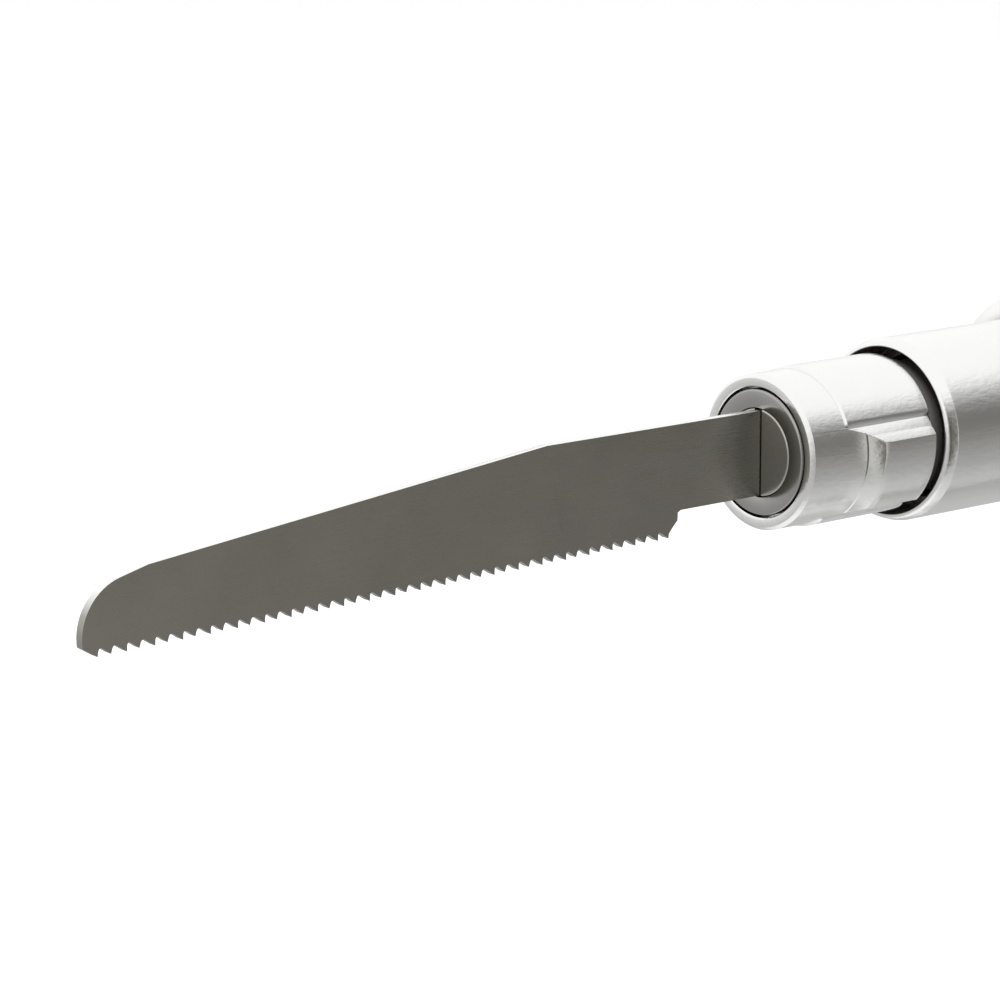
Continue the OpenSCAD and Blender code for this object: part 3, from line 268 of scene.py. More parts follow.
def blasted_cast_aluminium():
    """Cast aluminium, blasted and anodised: the same metal with a slightly coarser, softer grain."""
    plain = metal("blasted_cast_aluminium", colours().cast, 0.26, 0.16, depth=0.005, spread=0.03, tint=0.04)
    return mottled(plain, 0.9, 0.03)


def extruded_pack_aluminium():
    """Extruded shell, brushed upright and anodised: a slightly greyer metal with fine upright lines, 0.05 mm
    apart, drawn 0.12 mm apart to show."""
    return metal("extruded_pack_aluminium", colours().pack, 0.28, 0.12, stretch=(1, 1, 0.02), depth=0.003,
                 tint=0.03)


def turned_ring_steel():
    """Hardened steel turned and ground: dark reflections in fine rings round the axis, about 0.08 mm apart,
    drawn 0.12 mm apart to show. The neck behind stays black and dull from hardening."""
    material = metal("turned_ring_steel", colours().ring_steel, 0.22, 0.2, depth=0.0015, spread=0.04)
    tree = material.node_tree
    socket, before = shader_input(material, "Normal")
    place = add_node(tree, "ShaderNodeTexCoord").outputs["Object"]
    along = add_node(tree, "ShaderNodeSeparateXYZ", {"Vector": place}).outputs["X"]
    rings = add_node(tree, "ShaderNodeTexNoise", {"W": along, "Scale": 1 / (0.12 * MM), "Detail": 2.0},
                     noise_dimensions="1D")
    bump = add_node(tree, "ShaderNodeBump", {"Height": rings.outputs["Fac"], "Normal": before,
                                             "Strength": 1.0, "Distance": 0.0015 * MM})
    tree.links.new(bump.outputs[0], socket)
    neck_x = NECK_X[0] - FACE_X
    neck = add_node(tree, "ShaderNodeMapRange", {0: along, 1: (neck_x - 0.2) * MM, 2: neck_x * MM}).outputs[0]
    return overlay(material, neck, Base_Color=colours().scale, Roughness=0.6, Metallic=0.0)


def polished_screw_steel():
    """Stainless screws, pins and shafts, tumbled bright: clear reflections, hardly any grain."""
    return metal("polished_screw_steel", colours().screw_steel, 0.14, 0.25, depth=0.001, spread=0.03,
                 tint=0.04)


def hardened_rod_steel():
    """Hardened and ground rod: grey, with a slightly blurred reflection."""
    return metal("hardened_rod_steel", colours().rod_steel, 0.22, 0.15)


def ground_blade_steel():
    """Stainless strip, ground along its length: grey with long fine scratches about 0.03 mm wide,
    drawn 0.07 mm wide to show. Faces that point upwards, the spine above all, get a painted highlight:
    near-white."""
    material = metal("ground_blade_steel", colours().blade_steel, 0.3, 0.07, stretch=(0.012, 1, 1),
                     depth=0.004, spread=0.06, tint=0.1)
    tree = material.node_tree
    facing = add_node(tree, "ShaderNodeTexCoord").outputs["Normal"]
    upward = add_node(tree, "ShaderNodeSeparateXYZ", {"Vector": facing}).outputs["Z"]
    # Painted highlight: faces that point upwards are painted near-white.
    back = add_node(tree, "ShaderNodeMapRange", {0: upward, 1: 0.4, 2: 0.8}).outputs[0]
    return overlay(material, back, Base_Color=colours().blade_back)


def moulded_nylon():
    """Glass-filled nylon from a spark-textured mould: dull black with a soft sheen."""
    return moulding("moulded_nylon", colours().nylon, 0.5, 1.53, 0.35, 0.02)


def silicone_rubber():
    """Moulded silicone: matt black that hardly reflects."""
    return moulding("silicone_rubber", colours().silicone, 0.6, 1.42, 0.5, 0.01)


def sintered_bronze():
    """Pressed and sintered bronze: warm metal speckled with open pores."""
    return metal("sintered_bronze", colours().bronze, 0.38, 0.25, depth=0.01, spread=0.1, tint=0.15)


def stamped_brass():
    """Rolled and stamped brass: bright yellow with rolling lines."""
    return metal("stamped_brass", colours().brass, 0.22, 0.2, stretch=(0.1, 1, 1))


def enamelled_copper():
    """Enamelled winding wire: red-brown metal, in turns 0.45 mm apart."""
    return metal("enamelled_copper", colours().copper, 0.25, 0.45, stretch=(0.15, 1, 1), depth=0.05)


def board_laminate():
    """Glass-epoxy laminate under green solder lacquer: even green with a glossy coat."""
    return moulding("board_laminate", colours().board, 0.35, 1.55, 0.6, 0.01, coat=0.3)


def cell_shrink_sleeve():
    """PVC shrink sleeve over the cells: smooth blue, slightly glossy."""
    return moulding("cell_shrink_sleeve", colours().sleeve_blue, 0.3, 1.53, 1.2, 0.01, tint=0.08)


SLOT_FINISH = {
    "blade_steel": ground_blade_steel,
    "dark_steel": hardened_rod_steel,
    "bright_steel": polished_screw_steel,
    "collar_aluminium": satin_anodised_aluminium,
    "barrel_aluminium": satin_anodised_aluminium,
    "housing_aluminium": blasted_cast_aluminium,
    "pack_aluminium": extruded_pack_aluminium,
    "bronze": sintered_bronze,
    "contact_brass": stamped_brass,
    "copper": enamelled_copper,
    "seal_rubber": silicone_rubber,
    "control_plastic": moulded_nylon,
    "board": board_laminate,
    "cell_cans": cell_shrink_sleeve,
}


def finish(maker):
    """The material that a maker gives, made once."""
    return bpy.data.materials.get(maker.__name__) or maker()


# Mesh helpers, all in mm of the CAD frame

def spot(x, y, z):
    """A place."""
    return Vector((x, y, z)) * MM


def station(s, r, a=180.0):
    """A point s behind the chuck's face, r from the axis, at angle a from the saw's left side upwards."""
    return spot(s - FACE_X, -r * cos(radians(a)), AXIS_Z + r * sin(radians(a)))


def extent(node):
    """A CAD node's lowest and highest x, y and z."""
    low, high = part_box(node)
    return [(a / MM, b / MM) for a, b in zip(low, high)]


def share_of(value, low, high):
    """How far a value is on its way from low to high, from 0 to 1."""
    return min(max((value - low) / (high - low), 0.0), 1.0)


def shade(mesh, sharp):
    """Smooth shading, broken at edges sharper than an angle."""
    mesh.polygons.foreach_set("use_smooth", [True] * len(mesh.polygons))
    mesh.set_sharp_from_angle(angle=radians(sharp))


def make_object(bm, name, slot, body, sharp, *replaced, look=None):
    """Turns a bmesh into a smooth-shaded piece that rides on a body and stands for CAD nodes. A piece without
    a body is left unattached."""
    mesh = bpy.data.meshes.new(name)
    bm.to_mesh(mesh)
    bm.free()
    shade(mesh, sharp)
    piece = bpy.data.objects.new(name, mesh)
    bpy.context.scene.collection.objects.link(piece)
    mesh.materials.append(finish(look or SLOT_FINISH[slot]))
    if body:
        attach(piece, body)
    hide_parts(*replaced)
    return piece


def settle(piece, sharp):
    """Makes a piece's modifiers part of its mesh."""
    result = bpy.data.meshes.new_from_object(piece.evaluated_get(bpy.context.evaluated_depsgraph_get()))
    piece.modifiers.clear()
    old = piece.data
    piece.data = result
    bpy.data.meshes.remove(old)
    result.name = piece.name
    while len(result.materials) > 1:
        result.materials.pop()
    shade(result, sharp)


def combine(piece, cutters, operation="DIFFERENCE", sharp=35):
    """Cuts bmeshes out of a piece, or joins them to it, for good."""
    for cutter in cutters:
        bmesh.ops.recalc_face_normals(cutter, faces=cutter.faces[:])
        mesh = bpy.data.meshes.new("cutter")
        cutter.to_mesh(mesh)
        cutter.free()
        tool = bpy.data.objects.new("cutter", mesh)
        bpy.context.scene.collection.objects.link(tool)
        boolean = piece.modifiers.new("combine", "BOOLEAN")
        boolean.operation = operation
        boolean.solver = "MANIFOLD"
        boolean.object = tool
        settle(piece, sharp)
        bpy.data.objects.remove(tool)
        bpy.data.meshes.remove(mesh)


def cast(piece, detail, sharp):
    """Turns a piece's mesh into even small facets, as a pattern maker's clay."""
    remesh = piece.modifiers.new("cast", "REMESH")
    remesh.mode = "VOXEL"
    remesh.voxel_size = detail
    settle(piece, sharp)


def soften(bm, rounds, chosen):
    """Smooths the chosen vertices some rounds."""
    verts = [v for v in bm.verts if chosen(v.co / MM)]
    for _ in range(rounds):
        bmesh.ops.smooth_vert(bm, verts=verts, factor=0.5, use_axis_x=True, use_axis_y=True, use_axis_z=True)


def open_edges(bm):
    """The edges round a mesh's holes."""
    return [e for e in bm.edges if e.is_boundary]


def profile_wire(profile, place, closed=True):
    """A profile's wire. Its points are two measures, which place turns into a spot, and, where a corner is
    rounded, the length of its tangents and a number of segments."""
    bm = bmesh.new()
    verts = [bm.verts.new(place(*point[:2])) for point in profile]
    for pair in zip(verts, verts[1:]):
        bm.edges.new(pair)
    if closed:
        bm.edges.new((verts[-1], verts[0]))
    for vert, point in zip(verts, profile):
        if len(point) > 2:
            bmesh.ops.bevel(bm, geom=[vert], offset=point[2] * MM, offset_type="ABSOLUTE", segments=point[3],
                            profile=0.5, affect="VERTICES", material=-1)
    return bm


def spin_round(bm, steps, centre, axis):
    """Spins all of a profile a full turn round an axis, and closes and turns it outwards."""
    bmesh.ops.spin(bm, geom=bm.verts[:] + bm.edges[:], cent=centre, axis=axis, dvec=(0, 0, 0),
                   angle=2 * pi, steps=steps, use_merge=True, use_normal_flip=False, use_duplicate=False)
    bmesh.ops.remove_doubles(bm, verts=bm.verts[:], dist=NEAR / 2 * MM)
    bmesh.ops.recalc_face_normals(bm, faces=bm.faces[:])
    return bm


def lathe(profile, steps, closed=True):
    """Turns a profile of (station, radius[, tangent length, segments]) round the saw's axis."""
    return spin_round(profile_wire(profile, station, closed), steps, spot(0, 0, AXIS_Z), ALONG)


def stand_lathe(profile, steps):
    """Turns a profile of (height, radius[, tangent length, segments]) round the Z axis."""
    wire = profile_wire(profile, lambda height, radius: spot(radius, 0, height), False)
    return spin_round(wire, steps, (0, 0, 0), UP)


def pointed(way):
    """The turn that points a standing shape along a direction."""
    return Vector(way).to_track_quat("Z", "Y").to_matrix().to_4x4()


def rod(start, way, radius, depth, segments=48):
    """A round bar or drill from a place, along a direction."""
    bm = bmesh.new()
    middle = Matrix.Translation(spot(*start) + Vector(way) * depth * MM / 2)
    bmesh.ops.create_cone(bm, cap_ends=True, cap_tris=False, segments=segments, radius1=radius * MM,
                          radius2=radius * MM, depth=depth * MM, matrix=middle @ pointed(way))
    return bm


def box(x0, x1, y0, y1, z0, z1):
    """A block with sharp edges."""
    bm = bmesh.new()
    size = Matrix.Diagonal(spot(x1 - x0, y1 - y0, z1 - z0).to_4d())
    size[3][3] = 1
    middle = Matrix.Translation(spot(x0 + x1, y0 + y1, z0 + z1) / 2)
    bmesh.ops.create_cube(bm, size=1, matrix=middle @ size)
    return bm


def rounded_loop(bm, z, x0, x1, half_w, corner, segments=8):
    """A level loop of edges with rounded corners. Returns its edges."""
    before = set(bm.edges)
    corners = ((x0, -half_w), (x1, -half_w), (x1, half_w), (x0, half_w))
    verts = [bm.verts.new(spot(x, y, z)) for x, y in corners]
    for i in range(4):
        bm.edges.new((verts[i], verts[(i + 1) % 4]))
    bmesh.ops.bevel(bm, geom=verts, offset=corner * MM, offset_type="ABSOLUTE", segments=segments,
                    profile=0.5, affect="VERTICES", material=-1)
    return [e for e in bm.edges if e not in before]


def pillar(x0, x1, half_w, z0, z1, corner, top=0.0, bottom=0.0):
    """An upright block with rounded corners and, if asked, rounded upper and lower edges."""
    bm = bmesh.new()
    bmesh.ops.edgenet_fill(bm, edges=rounded_loop(bm, z0, x0, x1, half_w, corner))
    grown = bmesh.ops.extrude_face_region(bm, geom=bm.faces[:])
    bmesh.ops.translate(bm, vec=spot(0, 0, z1 - z0),
                        verts=[v for v in grown["geom"] if isinstance(v, bmesh.types.BMVert)])
    bmesh.ops.recalc_face_normals(bm, faces=bm.faces[:])
    for z, radius in ((z1, top), (z0, bottom)):
        if radius:
            rim = [e for e in bm.edges if all(abs(v.co.z - z * MM) < NEAR * MM for v in e.verts)]
            bmesh.ops.bevel(bm, geom=rim, offset=radius * MM, offset_type="OFFSET", segments=4, profile=0.5,
                            affect="EDGES", material=-1)
    return bm


def laid(bm, z, quarter="Y", x=0.0, y=0.0):
    """Lays a standing shape on its side and moves it to a place."""
    turn = Matrix.Rotation(pi / 2, 4, quarter)
    bmesh.ops.transform(bm, matrix=Matrix.Translation(spot(x, y, z)) @ turn, verts=bm.verts[:])
    return bm


# Chuck, as distances behind the chuck's face and radii, all in mm
ROD_R = 4.83
SLEEVE_R = 6.6
LIP_R = 6.88
LIP_X = 1.3
NECK_R = 7.4
FLANGE_R = 8.0
NECK_X = (13.8, 31.0)
FLANGE_X = (18.3, 20.3)
CLIP_X = (1.5, 2.2)
CLIP_R = 6.25
PIN_X = 12.0
PIN_R = 1.29

COLLAR_LEN = 18.1
COLLAR_FRONT_R = 8.5
COLLAR_R = 8.77
FRONT_CHAMFER = 0.41
BACK_DRAFT = 0.05
STEP_X = (5.36, 5.56)
RECESS_R = 7.11
LAND_X = (2.4, 4.4)
SPRING_ROOM_R = 7.6
# All of the collar's outside, and nothing of its inside, lies further out than this
SKIN_R = 8.0

# The collar's two finger lobes: a pad between two crests, each over a flank that rises from a shallow valley.
# Angles are degrees from the pad's middle.
LOBE_MIDDLE = -19.0
PAD_HALF = 26.0
PAD_R = 9.28
FLANK_HALF = 32.0
FLANK_R = 8.82
VALLEY_HALF = 39.5
VALLEY_X = (5.56, 7.2, 11.0, 18.0)
VALLEY_R = (8.5, 8.4, 8.52)
CLEAR_HALF = 45.0
SCOOP_X = (5.7, 10.3)
SCOOP_R = 8.5
SCOOP_BEND = 1.9
CREASE_X = 8.0
CREASE_HALF = 0.1
CREASE_DEPTH = 0.05
# Places between the profile's corners where the lobes bend along the saw, and how many rings they need there
LOBE_CUTS = ((6.5, 24), (9.0, 24), (12.0, 7))

# Ramp inside the collar, under its far lobe
RAMP_R = 7.0
RAMP_X = (10.3, 13.7)
RAMP_RISE = 1.1 / 40
RAMP_REACH = 51.5


def flank_radius(s, off):
    """The collar's radius outside the crests, off degrees from the pad's middle."""
    if off >= CLEAR_HALF:
        return COLLAR_R
    valley = VALLEY_R[0] + (VALLEY_R[1] - VALLEY_R[0]) * share_of(s, *VALLEY_X[:2])
    valley += (VALLEY_R[2] - VALLEY_R[1]) * share_of(s, *VALLEY_X[2:])
    if off >= VALLEY_HALF:
        out = share_of(off, VALLEY_HALF, CLEAR_HALF)
        return valley + (COLLAR_R - valley) * (1 - (1 - out) ** 2)
    if off >= FLANK_HALF:
        return FLANK_R + (valley - FLANK_R) * share_of(off, FLANK_HALF, VALLEY_HALF)
    return PAD_R + (FLANK_R - PAD_R) * (off - PAD_HALF) / (FLANK_HALF - PAD_HALF)


def scoop_radius(s):
    """The collar's radius between the crests: a concave run from the front part up to the pad."""
    crease = CREASE_DEPTH * max(0.0, 1 - abs(s - CREASE_X) / CREASE_HALF)
    return SCOOP_R + (PAD_R - SCOOP_R) * share_of(s, *SCOOP_X) ** SCOOP_BEND - crease


def lobe_radius(s, a):
    """The collar's outer radius at station s and angle a, with a finger lobe on each side."""
    off = abs((a + 90) % 180 - 90 - LOBE_MIDDLE)
    outside = flank_radius(s, off)
    return outside if off >= VALLEY_HALF else min(outside, scoop_radius(s))


def ramp_radius(a):
    """The inner radius over the lock pin at angle a: it grows as the collar turns."""
    turned_by = (180 - a) % 360
    return RAMP_R if turned_by > RAMP_REACH else RAMP_R + RAMP_RISE * turned_by


class SAW_OT_collar(bpy.types.Operator):
    """Makes the twist collar with its two finger lobes"""
    bl_idname = "saw.collar"
    bl_label = "Twist Collar"

    def execute(self, context):
        edge = sizes().collar_edge / MM
        land_r = SLEEVE_R + SLIDE
        back_r = NECK_R + SLIDE
        ramp_r = RAMP_R - HAIRLINE
        profile = [(0, RECESS_R, 0.25, 3), (0, COLLAR_FRONT_R - FRONT_CHAMFER, edge, 3),
                   (FRONT_CHAMFER, COLLAR_FRONT_R), (STEP_X[0], COLLAR_FRONT_R), (STEP_X[1], COLLAR_R),
                   (CREASE_X - CREASE_HALF, COLLAR_R), (CREASE_X, COLLAR_R),
                   (CREASE_X + CREASE_HALF, COLLAR_R), (SCOOP_X[1], COLLAR_R),
                   (COLLAR_LEN - BACK_DRAFT, COLLAR_R, 0.2, 3), (COLLAR_LEN, back_r),
                   (RAMP_X[1], back_r), (RAMP_X[1], ramp_r), (RAMP_X[0], ramp_r), (RAMP_X[0], SPRING_ROOM_R),
                   (LAND_X[1], SPRING_ROOM_R), (LAND_X[1], land_r), (LAND_X[0], land_r),
                   (LAND_X[0], RECESS_R)]
        bm = profile_wire(profile, station)
        for crossed, cuts in LOBE_CUTS:
            x = (crossed - FACE_X) * MM
            outer = [e for e in bm.edges if min(v.co.x for v in e.verts) < x < max(v.co.x for v in e.verts)
                     and min(abs(v.co.y) for v in e.verts) > SKIN_R * MM]
            bmesh.ops.subdivide_edges(bm, edges=outer, cuts=cuts)
        spin_round(bm, sizes().collar_around, spot(0, 0, AXIS_Z), ALONG)
        for vert in bm.verts:
            s, y, z = vert.co.x / MM + FACE_X, vert.co.y / MM, vert.co.z / MM - AXIS_Z
            r, a = hypot(y, z), degrees(atan2(z, -y))
            if s > sum(STEP_X) / 2 and r > SKIN_R:
                r += lobe_radius(s, round(a * 4) / 4) - COLLAR_R
            elif RAMP_X[0] - NEAR < s < RAMP_X[1] + NEAR and r < RAMP_R:
                r = ramp_radius(a)
            vert.co = station(s, r, a)
        make_object(bm, "twist_collar", "collar_aluminium", "collar_unit", 24, "collar")
        return {"FINISHED"}


class SAW_OT_chuck_ring(bpy.types.Operator):
    """Makes the steel sleeve round the plunger and the neck behind it"""
    bl_idname = "saw.chuck_ring"
    bl_label = "Chuck Sleeve"

    def execute(self, context):
        edge = sizes().ring_edge / MM
        bore = ROD_R + FIT
        profile = [(0, bore, 0.1, 2), (0, LIP_R, 0.3, 4), (LIP_X, LIP_R), (LIP_X, SLEEVE_R),
                   (CLIP_X[0], SLEEVE_R), (CLIP_X[0], CLIP_R), (CLIP_X[1], CLIP_R), (CLIP_X[1], SLEEVE_R),
                   (NECK_X[0], SLEEVE_R), (NECK_X[0], NECK_R), (FLANGE_X[0], NECK_R),
                   (FLANGE_X[0], FLANGE_R, edge, 2), (FLANGE_X[1], FLANGE_R, edge, 2), (FLANGE_X[1], NECK_R),
                   (NECK_X[1], NECK_R), (NECK_X[1], bore)]
        piece = make_object(lathe(profile, sizes().around), "chuck_ring", "bright_steel", "plunger_unit", 30,
                            "chuck_sleeve", look=turned_ring_steel)
        combine(piece, [rod((PIN_X - FACE_X, 0, AXIS_Z), SIDE, PIN_R, SLEEVE_R + OVERRUN)])
        return {"FINISHED"}


# Plunger: its blade slot, and the cup at its back that carries key and follower pin
SLOT_END = 15.2
SLOT_Y = (-0.62, 0.54)
SLOT_HALF = 7.0
YOKE_X = (64.37, 88.12)
YOKE_R = (12.4, 14.6)
YOKE_FLOOR = 4.0


class SAW_OT_plunger(bpy.types.Operator):
    """Makes the slotted plunger with its yoke"""
    bl_idname = "saw.plunger"
    bl_label = "Plunger"

    def execute(self, context):
        front, back = YOKE_X
        inner, outer = YOKE_R
        profile = [(0, 0), (0, ROD_R, 0.3, 5), (front, ROD_R), (front, outer, 0.3, 2), (back, outer),
                   (back, inner), (front + YOKE_FLOOR, inner), (front + YOKE_FLOOR, 0)]
        piece = make_object(lathe(profile, sizes().around, closed=False), "plunger_rod", "dark_steel",
                            "plunger_unit", 30, "plunger")
        slot = box(-OVERRUN - FACE_X, SLOT_END - FACE_X, *SLOT_Y, AXIS_Z - SLOT_HALF, AXIS_Z + SLOT_HALF)
        lock_hole = rod((PIN_X - FACE_X, 0.2, AXIS_Z), SIDE, PIN_R, ROD_R + OVERRUN)
        (x0, x1), (y0, y1), (z0, _) = extent("guide_key")
        keyway = box(x0 - FIT, x1 + FIT, y0 - FIT, y1 + FIT, z0 - OVERRUN, AXIS_Z - outer + OVERRUN)
        x0, x1 = extent("follower_pin")[0]
        pin_hole = rod(((x0 + x1) / 2, 0, AXIS_Z + inner - OVERRUN), UP, (x1 - x0) / 2 + FIT, 5)
        combine(piece, [slot, lock_hole, keyway, pin_hole])
        return {"FINISHED"}


# Barrel and nose, as the chuck. Behind the mouth come the throat, the seal's seat and the bush's seat.
BARREL_X = 19.2
BARREL_R = 10.22
MOUTH_R = 9.36
MOUTH_LIP = 0.4
MOUTH_X1 = 24.6
THROAT_R = 9.0
SEAL_X = (28.52, 33.4)
SEAL_R = 7.9
BUSH_R = 7.2
SPIGOT_R = 9.3
SPIGOT_END = 46.0
# The rim's cone: its length and angle. Past it a ring keeps the smooth shading of the barrel straight.
RIM_CONE = (1.25, 18.0)
RIM_RING = 1.6
SHOULDER_X = 35.8
# The full radius is reached in a quarter round from this far behind the face, of this radius
ROUND_X = (42.4, 2.6)
NOSE_R = 13.0
HEAD_R = 20.0
# The flare to the head, by the corners of its curves' tangents and the tangents' length
FLARE = ((55.926, NOSE_R, 3.93, 20), (61.33, HEAD_R, 4.9, 20))
# Behind the seam the nose has a spigot with the seal ring's groove, and a bore with a floor
TAIL_R = 17.59
TAIL_END = 90.52
RING_X = (87.52, 88.32)
RING_R = 16.79
NOSE_BORE_R = 16.31
NOSE_FLOOR_X = 61.969


class SAW_OT_barrel(bpy.types.Operator):
    """Makes the fixed barrel with its rounded mouth"""
    bl_idname = "saw.barrel"
    bl_label = "Barrel"

    def execute(self, context):
        edge = sizes().shoulder_edge / MM
        cone_r = BARREL_R - RIM_CONE[0] * tan(radians(RIM_CONE[1]))
        profile = [(BARREL_X, cone_r, (cone_r - MOUTH_R) * 0.97, 12),
                   (BARREL_X + RIM_CONE[0], BARREL_R, 0.08, 3), (BARREL_X + RIM_RING, BARREL_R),
                   (SHOULDER_X, BARREL_R), (SHOULDER_X, SPIGOT_R),
                   (SPIGOT_END, SPIGOT_R), (SPIGOT_END, BUSH_R), (SEAL_X[1], BUSH_R), (SEAL_X[1], SEAL_R),
                   (SEAL_X[0], SEAL_R), (SEAL_X[0], THROAT_R), (MOUTH_X1, THROAT_R), (MOUTH_X1, MOUTH_R),
                   (BARREL_X + MOUTH_LIP, MOUTH_R, edge, 2), (BARREL_X, MOUTH_R)]
        make_object(lathe(profile, sizes().around), "barrel_tube", "barrel_aluminium", "saw_body", 30,
                    "barrel", look=bore_shaded_anodised_aluminium)
        return {"FINISHED"}


class SAW_OT_nose(bpy.types.Operator):
    """Makes the nose with its rounded shoulder and flare"""
    bl_idname = "saw.nose"
    bl_label = "Nose"

    def execute(self, context):
        edge = sizes().shoulder_edge / MM
        front = SHOULDER_X + HAIRLINE
        socket = SPIGOT_END + HAIRLINE
        socket_r = SPIGOT_R + FIT
        seam_x = extent("nose_housing")[0][1] + FACE_X
        profile = [(front, BARREL_R), (ROUND_X[0], BARREL_R, edge, 2), (ROUND_X[0], NOSE_R, ROUND_X[1], 20),
                   *FLARE, (seam_x, HEAD_R, sizes().seam / MM, 3), (seam_x, TAIL_R), (RING_X[0], TAIL_R),
                   (RING_X[0], RING_R), (RING_X[1], RING_R), (RING_X[1], TAIL_R), (TAIL_END, TAIL_R),
                   (TAIL_END, NOSE_BORE_R), (NOSE_FLOOR_X, NOSE_BORE_R), (NOSE_FLOOR_X, BUSH_R),
                   (socket, BUSH_R), (socket, socket_r), (front, socket_r)]
        make_object(lathe(profile, sizes().around), "nose_shell", "housing_aluminium", "saw_body", 30,
                    "nose_housing", look=satin_anodised_aluminium)
        return {"FINISHED"}


# Blade, as distances behind the chuck's face and heights over the axis
SPINE_H = 4.63
KINK_X = -29.9
SPINE_FALL = 5.87
TIP_ROUND = 5.68
TIP_X = -86.46
TIP_SINK = 0.42
TIP_FALL = 13.5
TIP_TURN = 97.0
TIP_STEPS = 16
FIRST_TOOTH = -84.8
PITCH = 1.59
TOOTH_H = 0.8
TEETH = 46
TOOTH_SET = 10.0
TEETH_LINE = -7.45
TEETH_FROM = -13.2
TEETH_FALL = 0.75
BLADE_T = 1.0
SHANK_X = 15.0
HEEL = ((-12.76, -6.46), (-11.98, -5.69), (-11.92, -4.85), (-11.52, -SPINE_H), (SHANK_X, -SPINE_H))
# One tooth, from its tip up the raked face and round the gullet, as shares of the pitch and of its height
TOOTH_FORM = ((0, 0), (0.05, 0.62), (0.10, 0.86), (0.17, 0.98), (0.25, 1.0), (0.33, 0.93))
# What is bent of a tooth: this share of the pitch behind its tip, and all but this much of its height
SET_SHARE = 0.12
SET_ROOT = 0.02


def tooth_line(x):
    """Height of the tooth tips over the axis at x mm behind the chuck's face."""
    return TEETH_LINE - (TEETH_FROM - x) * tan(radians(TEETH_FALL))


def spine_line(x):
    """Height of the falling part of the spine."""
    return SPINE_H + (x - KINK_X) * tan(radians(SPINE_FALL))


def blade_outline():
    """The blade's outline: teeth from the tip on, heel, shank, spine and rounded tip."""
    for i in range(TEETH):
        x = FIRST_TOOTH + i * PITCH
        for part, rise in TOOTH_FORM[:2] if i == TEETH - 1 else TOOTH_FORM:
            yield x + part * PITCH, tooth_line(x) + rise * TOOTH_H
    yield from HEEL
    yield SHANK_X, SPINE_H
    yield KINK_X, SPINE_H
    # The spine ends where it meets the steeper line that runs into the tip's round
    tip_x = TIP_X + TIP_ROUND
    tip_z = spine_line(tip_x) - TIP_ROUND - TIP_SINK
    top_x = tip_x - TIP_ROUND * sin(radians(TIP_FALL))
    top_z = tip_z + TIP_ROUND * cos(radians(TIP_FALL))
    fall = tan(radians(TIP_FALL))
    bend_x = (spine_line(0) - top_z + top_x * fall) / (fall - tan(radians(SPINE_FALL)))
    yield bend_x, spine_line(bend_x)
    for i in range(TIP_STEPS + 1):
        turn = radians(90 + TIP_FALL + (TIP_TURN - TIP_FALL) * i / TIP_STEPS)
        yield tip_x + TIP_ROUND * cos(turn), tip_z + TIP_ROUND * sin(turn)


def set_teeth(bm):
    """Bends every other tooth to the left and the rest to the right, but for the first and the last."""
    for i in range(1, TEETH - 1):
        x = FIRST_TOOTH + i * PITCH
        root = tooth_line(x) + TOOTH_H
        bend = tan(radians(TOOTH_SET)) * (1 if i % 2 else -1)
        for v in bm.verts:
            vx, vz = v.co.x / MM + FACE_X, v.co.z / MM - AXIS_Z
            if x - SET_ROOT < vx < x + SET_SHARE * PITCH and vz < root - SET_ROOT:
                v.co.y += bend * (root - vz) * MM


class SAW_OT_blade(bpy.types.Operator):
    """Makes the saw blade with its set teeth"""
    bl_idname = "saw.blade"
    bl_label = "Saw Blade"

    def execute(self, context):
        bm = bmesh.new()
        corners = [bm.verts.new(spot(x - FACE_X, -BLADE_T / 2, AXIS_Z + z)) for x, z in blade_outline()]
        grown = bmesh.ops.extrude_face_region(bm, geom=[bm.faces.new(corners)])
        bmesh.ops.translate(bm, vec=spot(0, BLADE_T, 0),
                            verts=[v for v in grown["geom"] if isinstance(v, bmesh.types.BMVert)])
        bmesh.ops.recalc_face_normals(bm, faces=bm.faces[:])
        set_teeth(bm)
        spine = [e for e in bm.edges if all(v.co.z > (AXIS_Z + SPINE_H / 2) * MM for v in e.verts)
                 and abs(e.verts[0].co.y - e.verts[1].co.y) < HAIRLINE * MM]
        bmesh.ops.bevel(bm, geom=spine, offset=sizes().blade_edge, offset_type="OFFSET", segments=2,
                        profile=0.5, affect="EDGES", material=-1)
        make_object(bm, "saw_blade", "blade_steel", "plunger_unit", 25, "blade")
        return {"FINISHED"}


# Housing with the grip, as heights and as sizes round the grip's middle
HEAD_X = (-27.99, 21.5)
GRIP_Z = (52.5, 160.0)
GRIP_HALF = 19.0
GRIP_SWELL = (1.6, 2.6)
GRIP_W = 15.0
GRIP_ROUND = 13.0
GRIP_TOP = 150.0
GRIP_LEVELS = 12
FOOT_Z = (46.01, 53.0)
FOOT_HALF = (35.0, 23.0, 9.0)
# The foot narrows into the grip: height, half length, half width and corner
FOOT_FLARE = ((56.9, 27.4, 19.2, 11.0), (60.0, 21.6, 16.4, 12.6), (61.5, 19.1, GRIP_W, GRIP_ROUND))
# How far the fillet between tube and grip reaches: from the tube's skin, upwards and to either end
FILLET = (3.5, 152.0, 24.5)
# Vertices this near the tube's skin are put back on it after smoothing
SNAP = 0.35

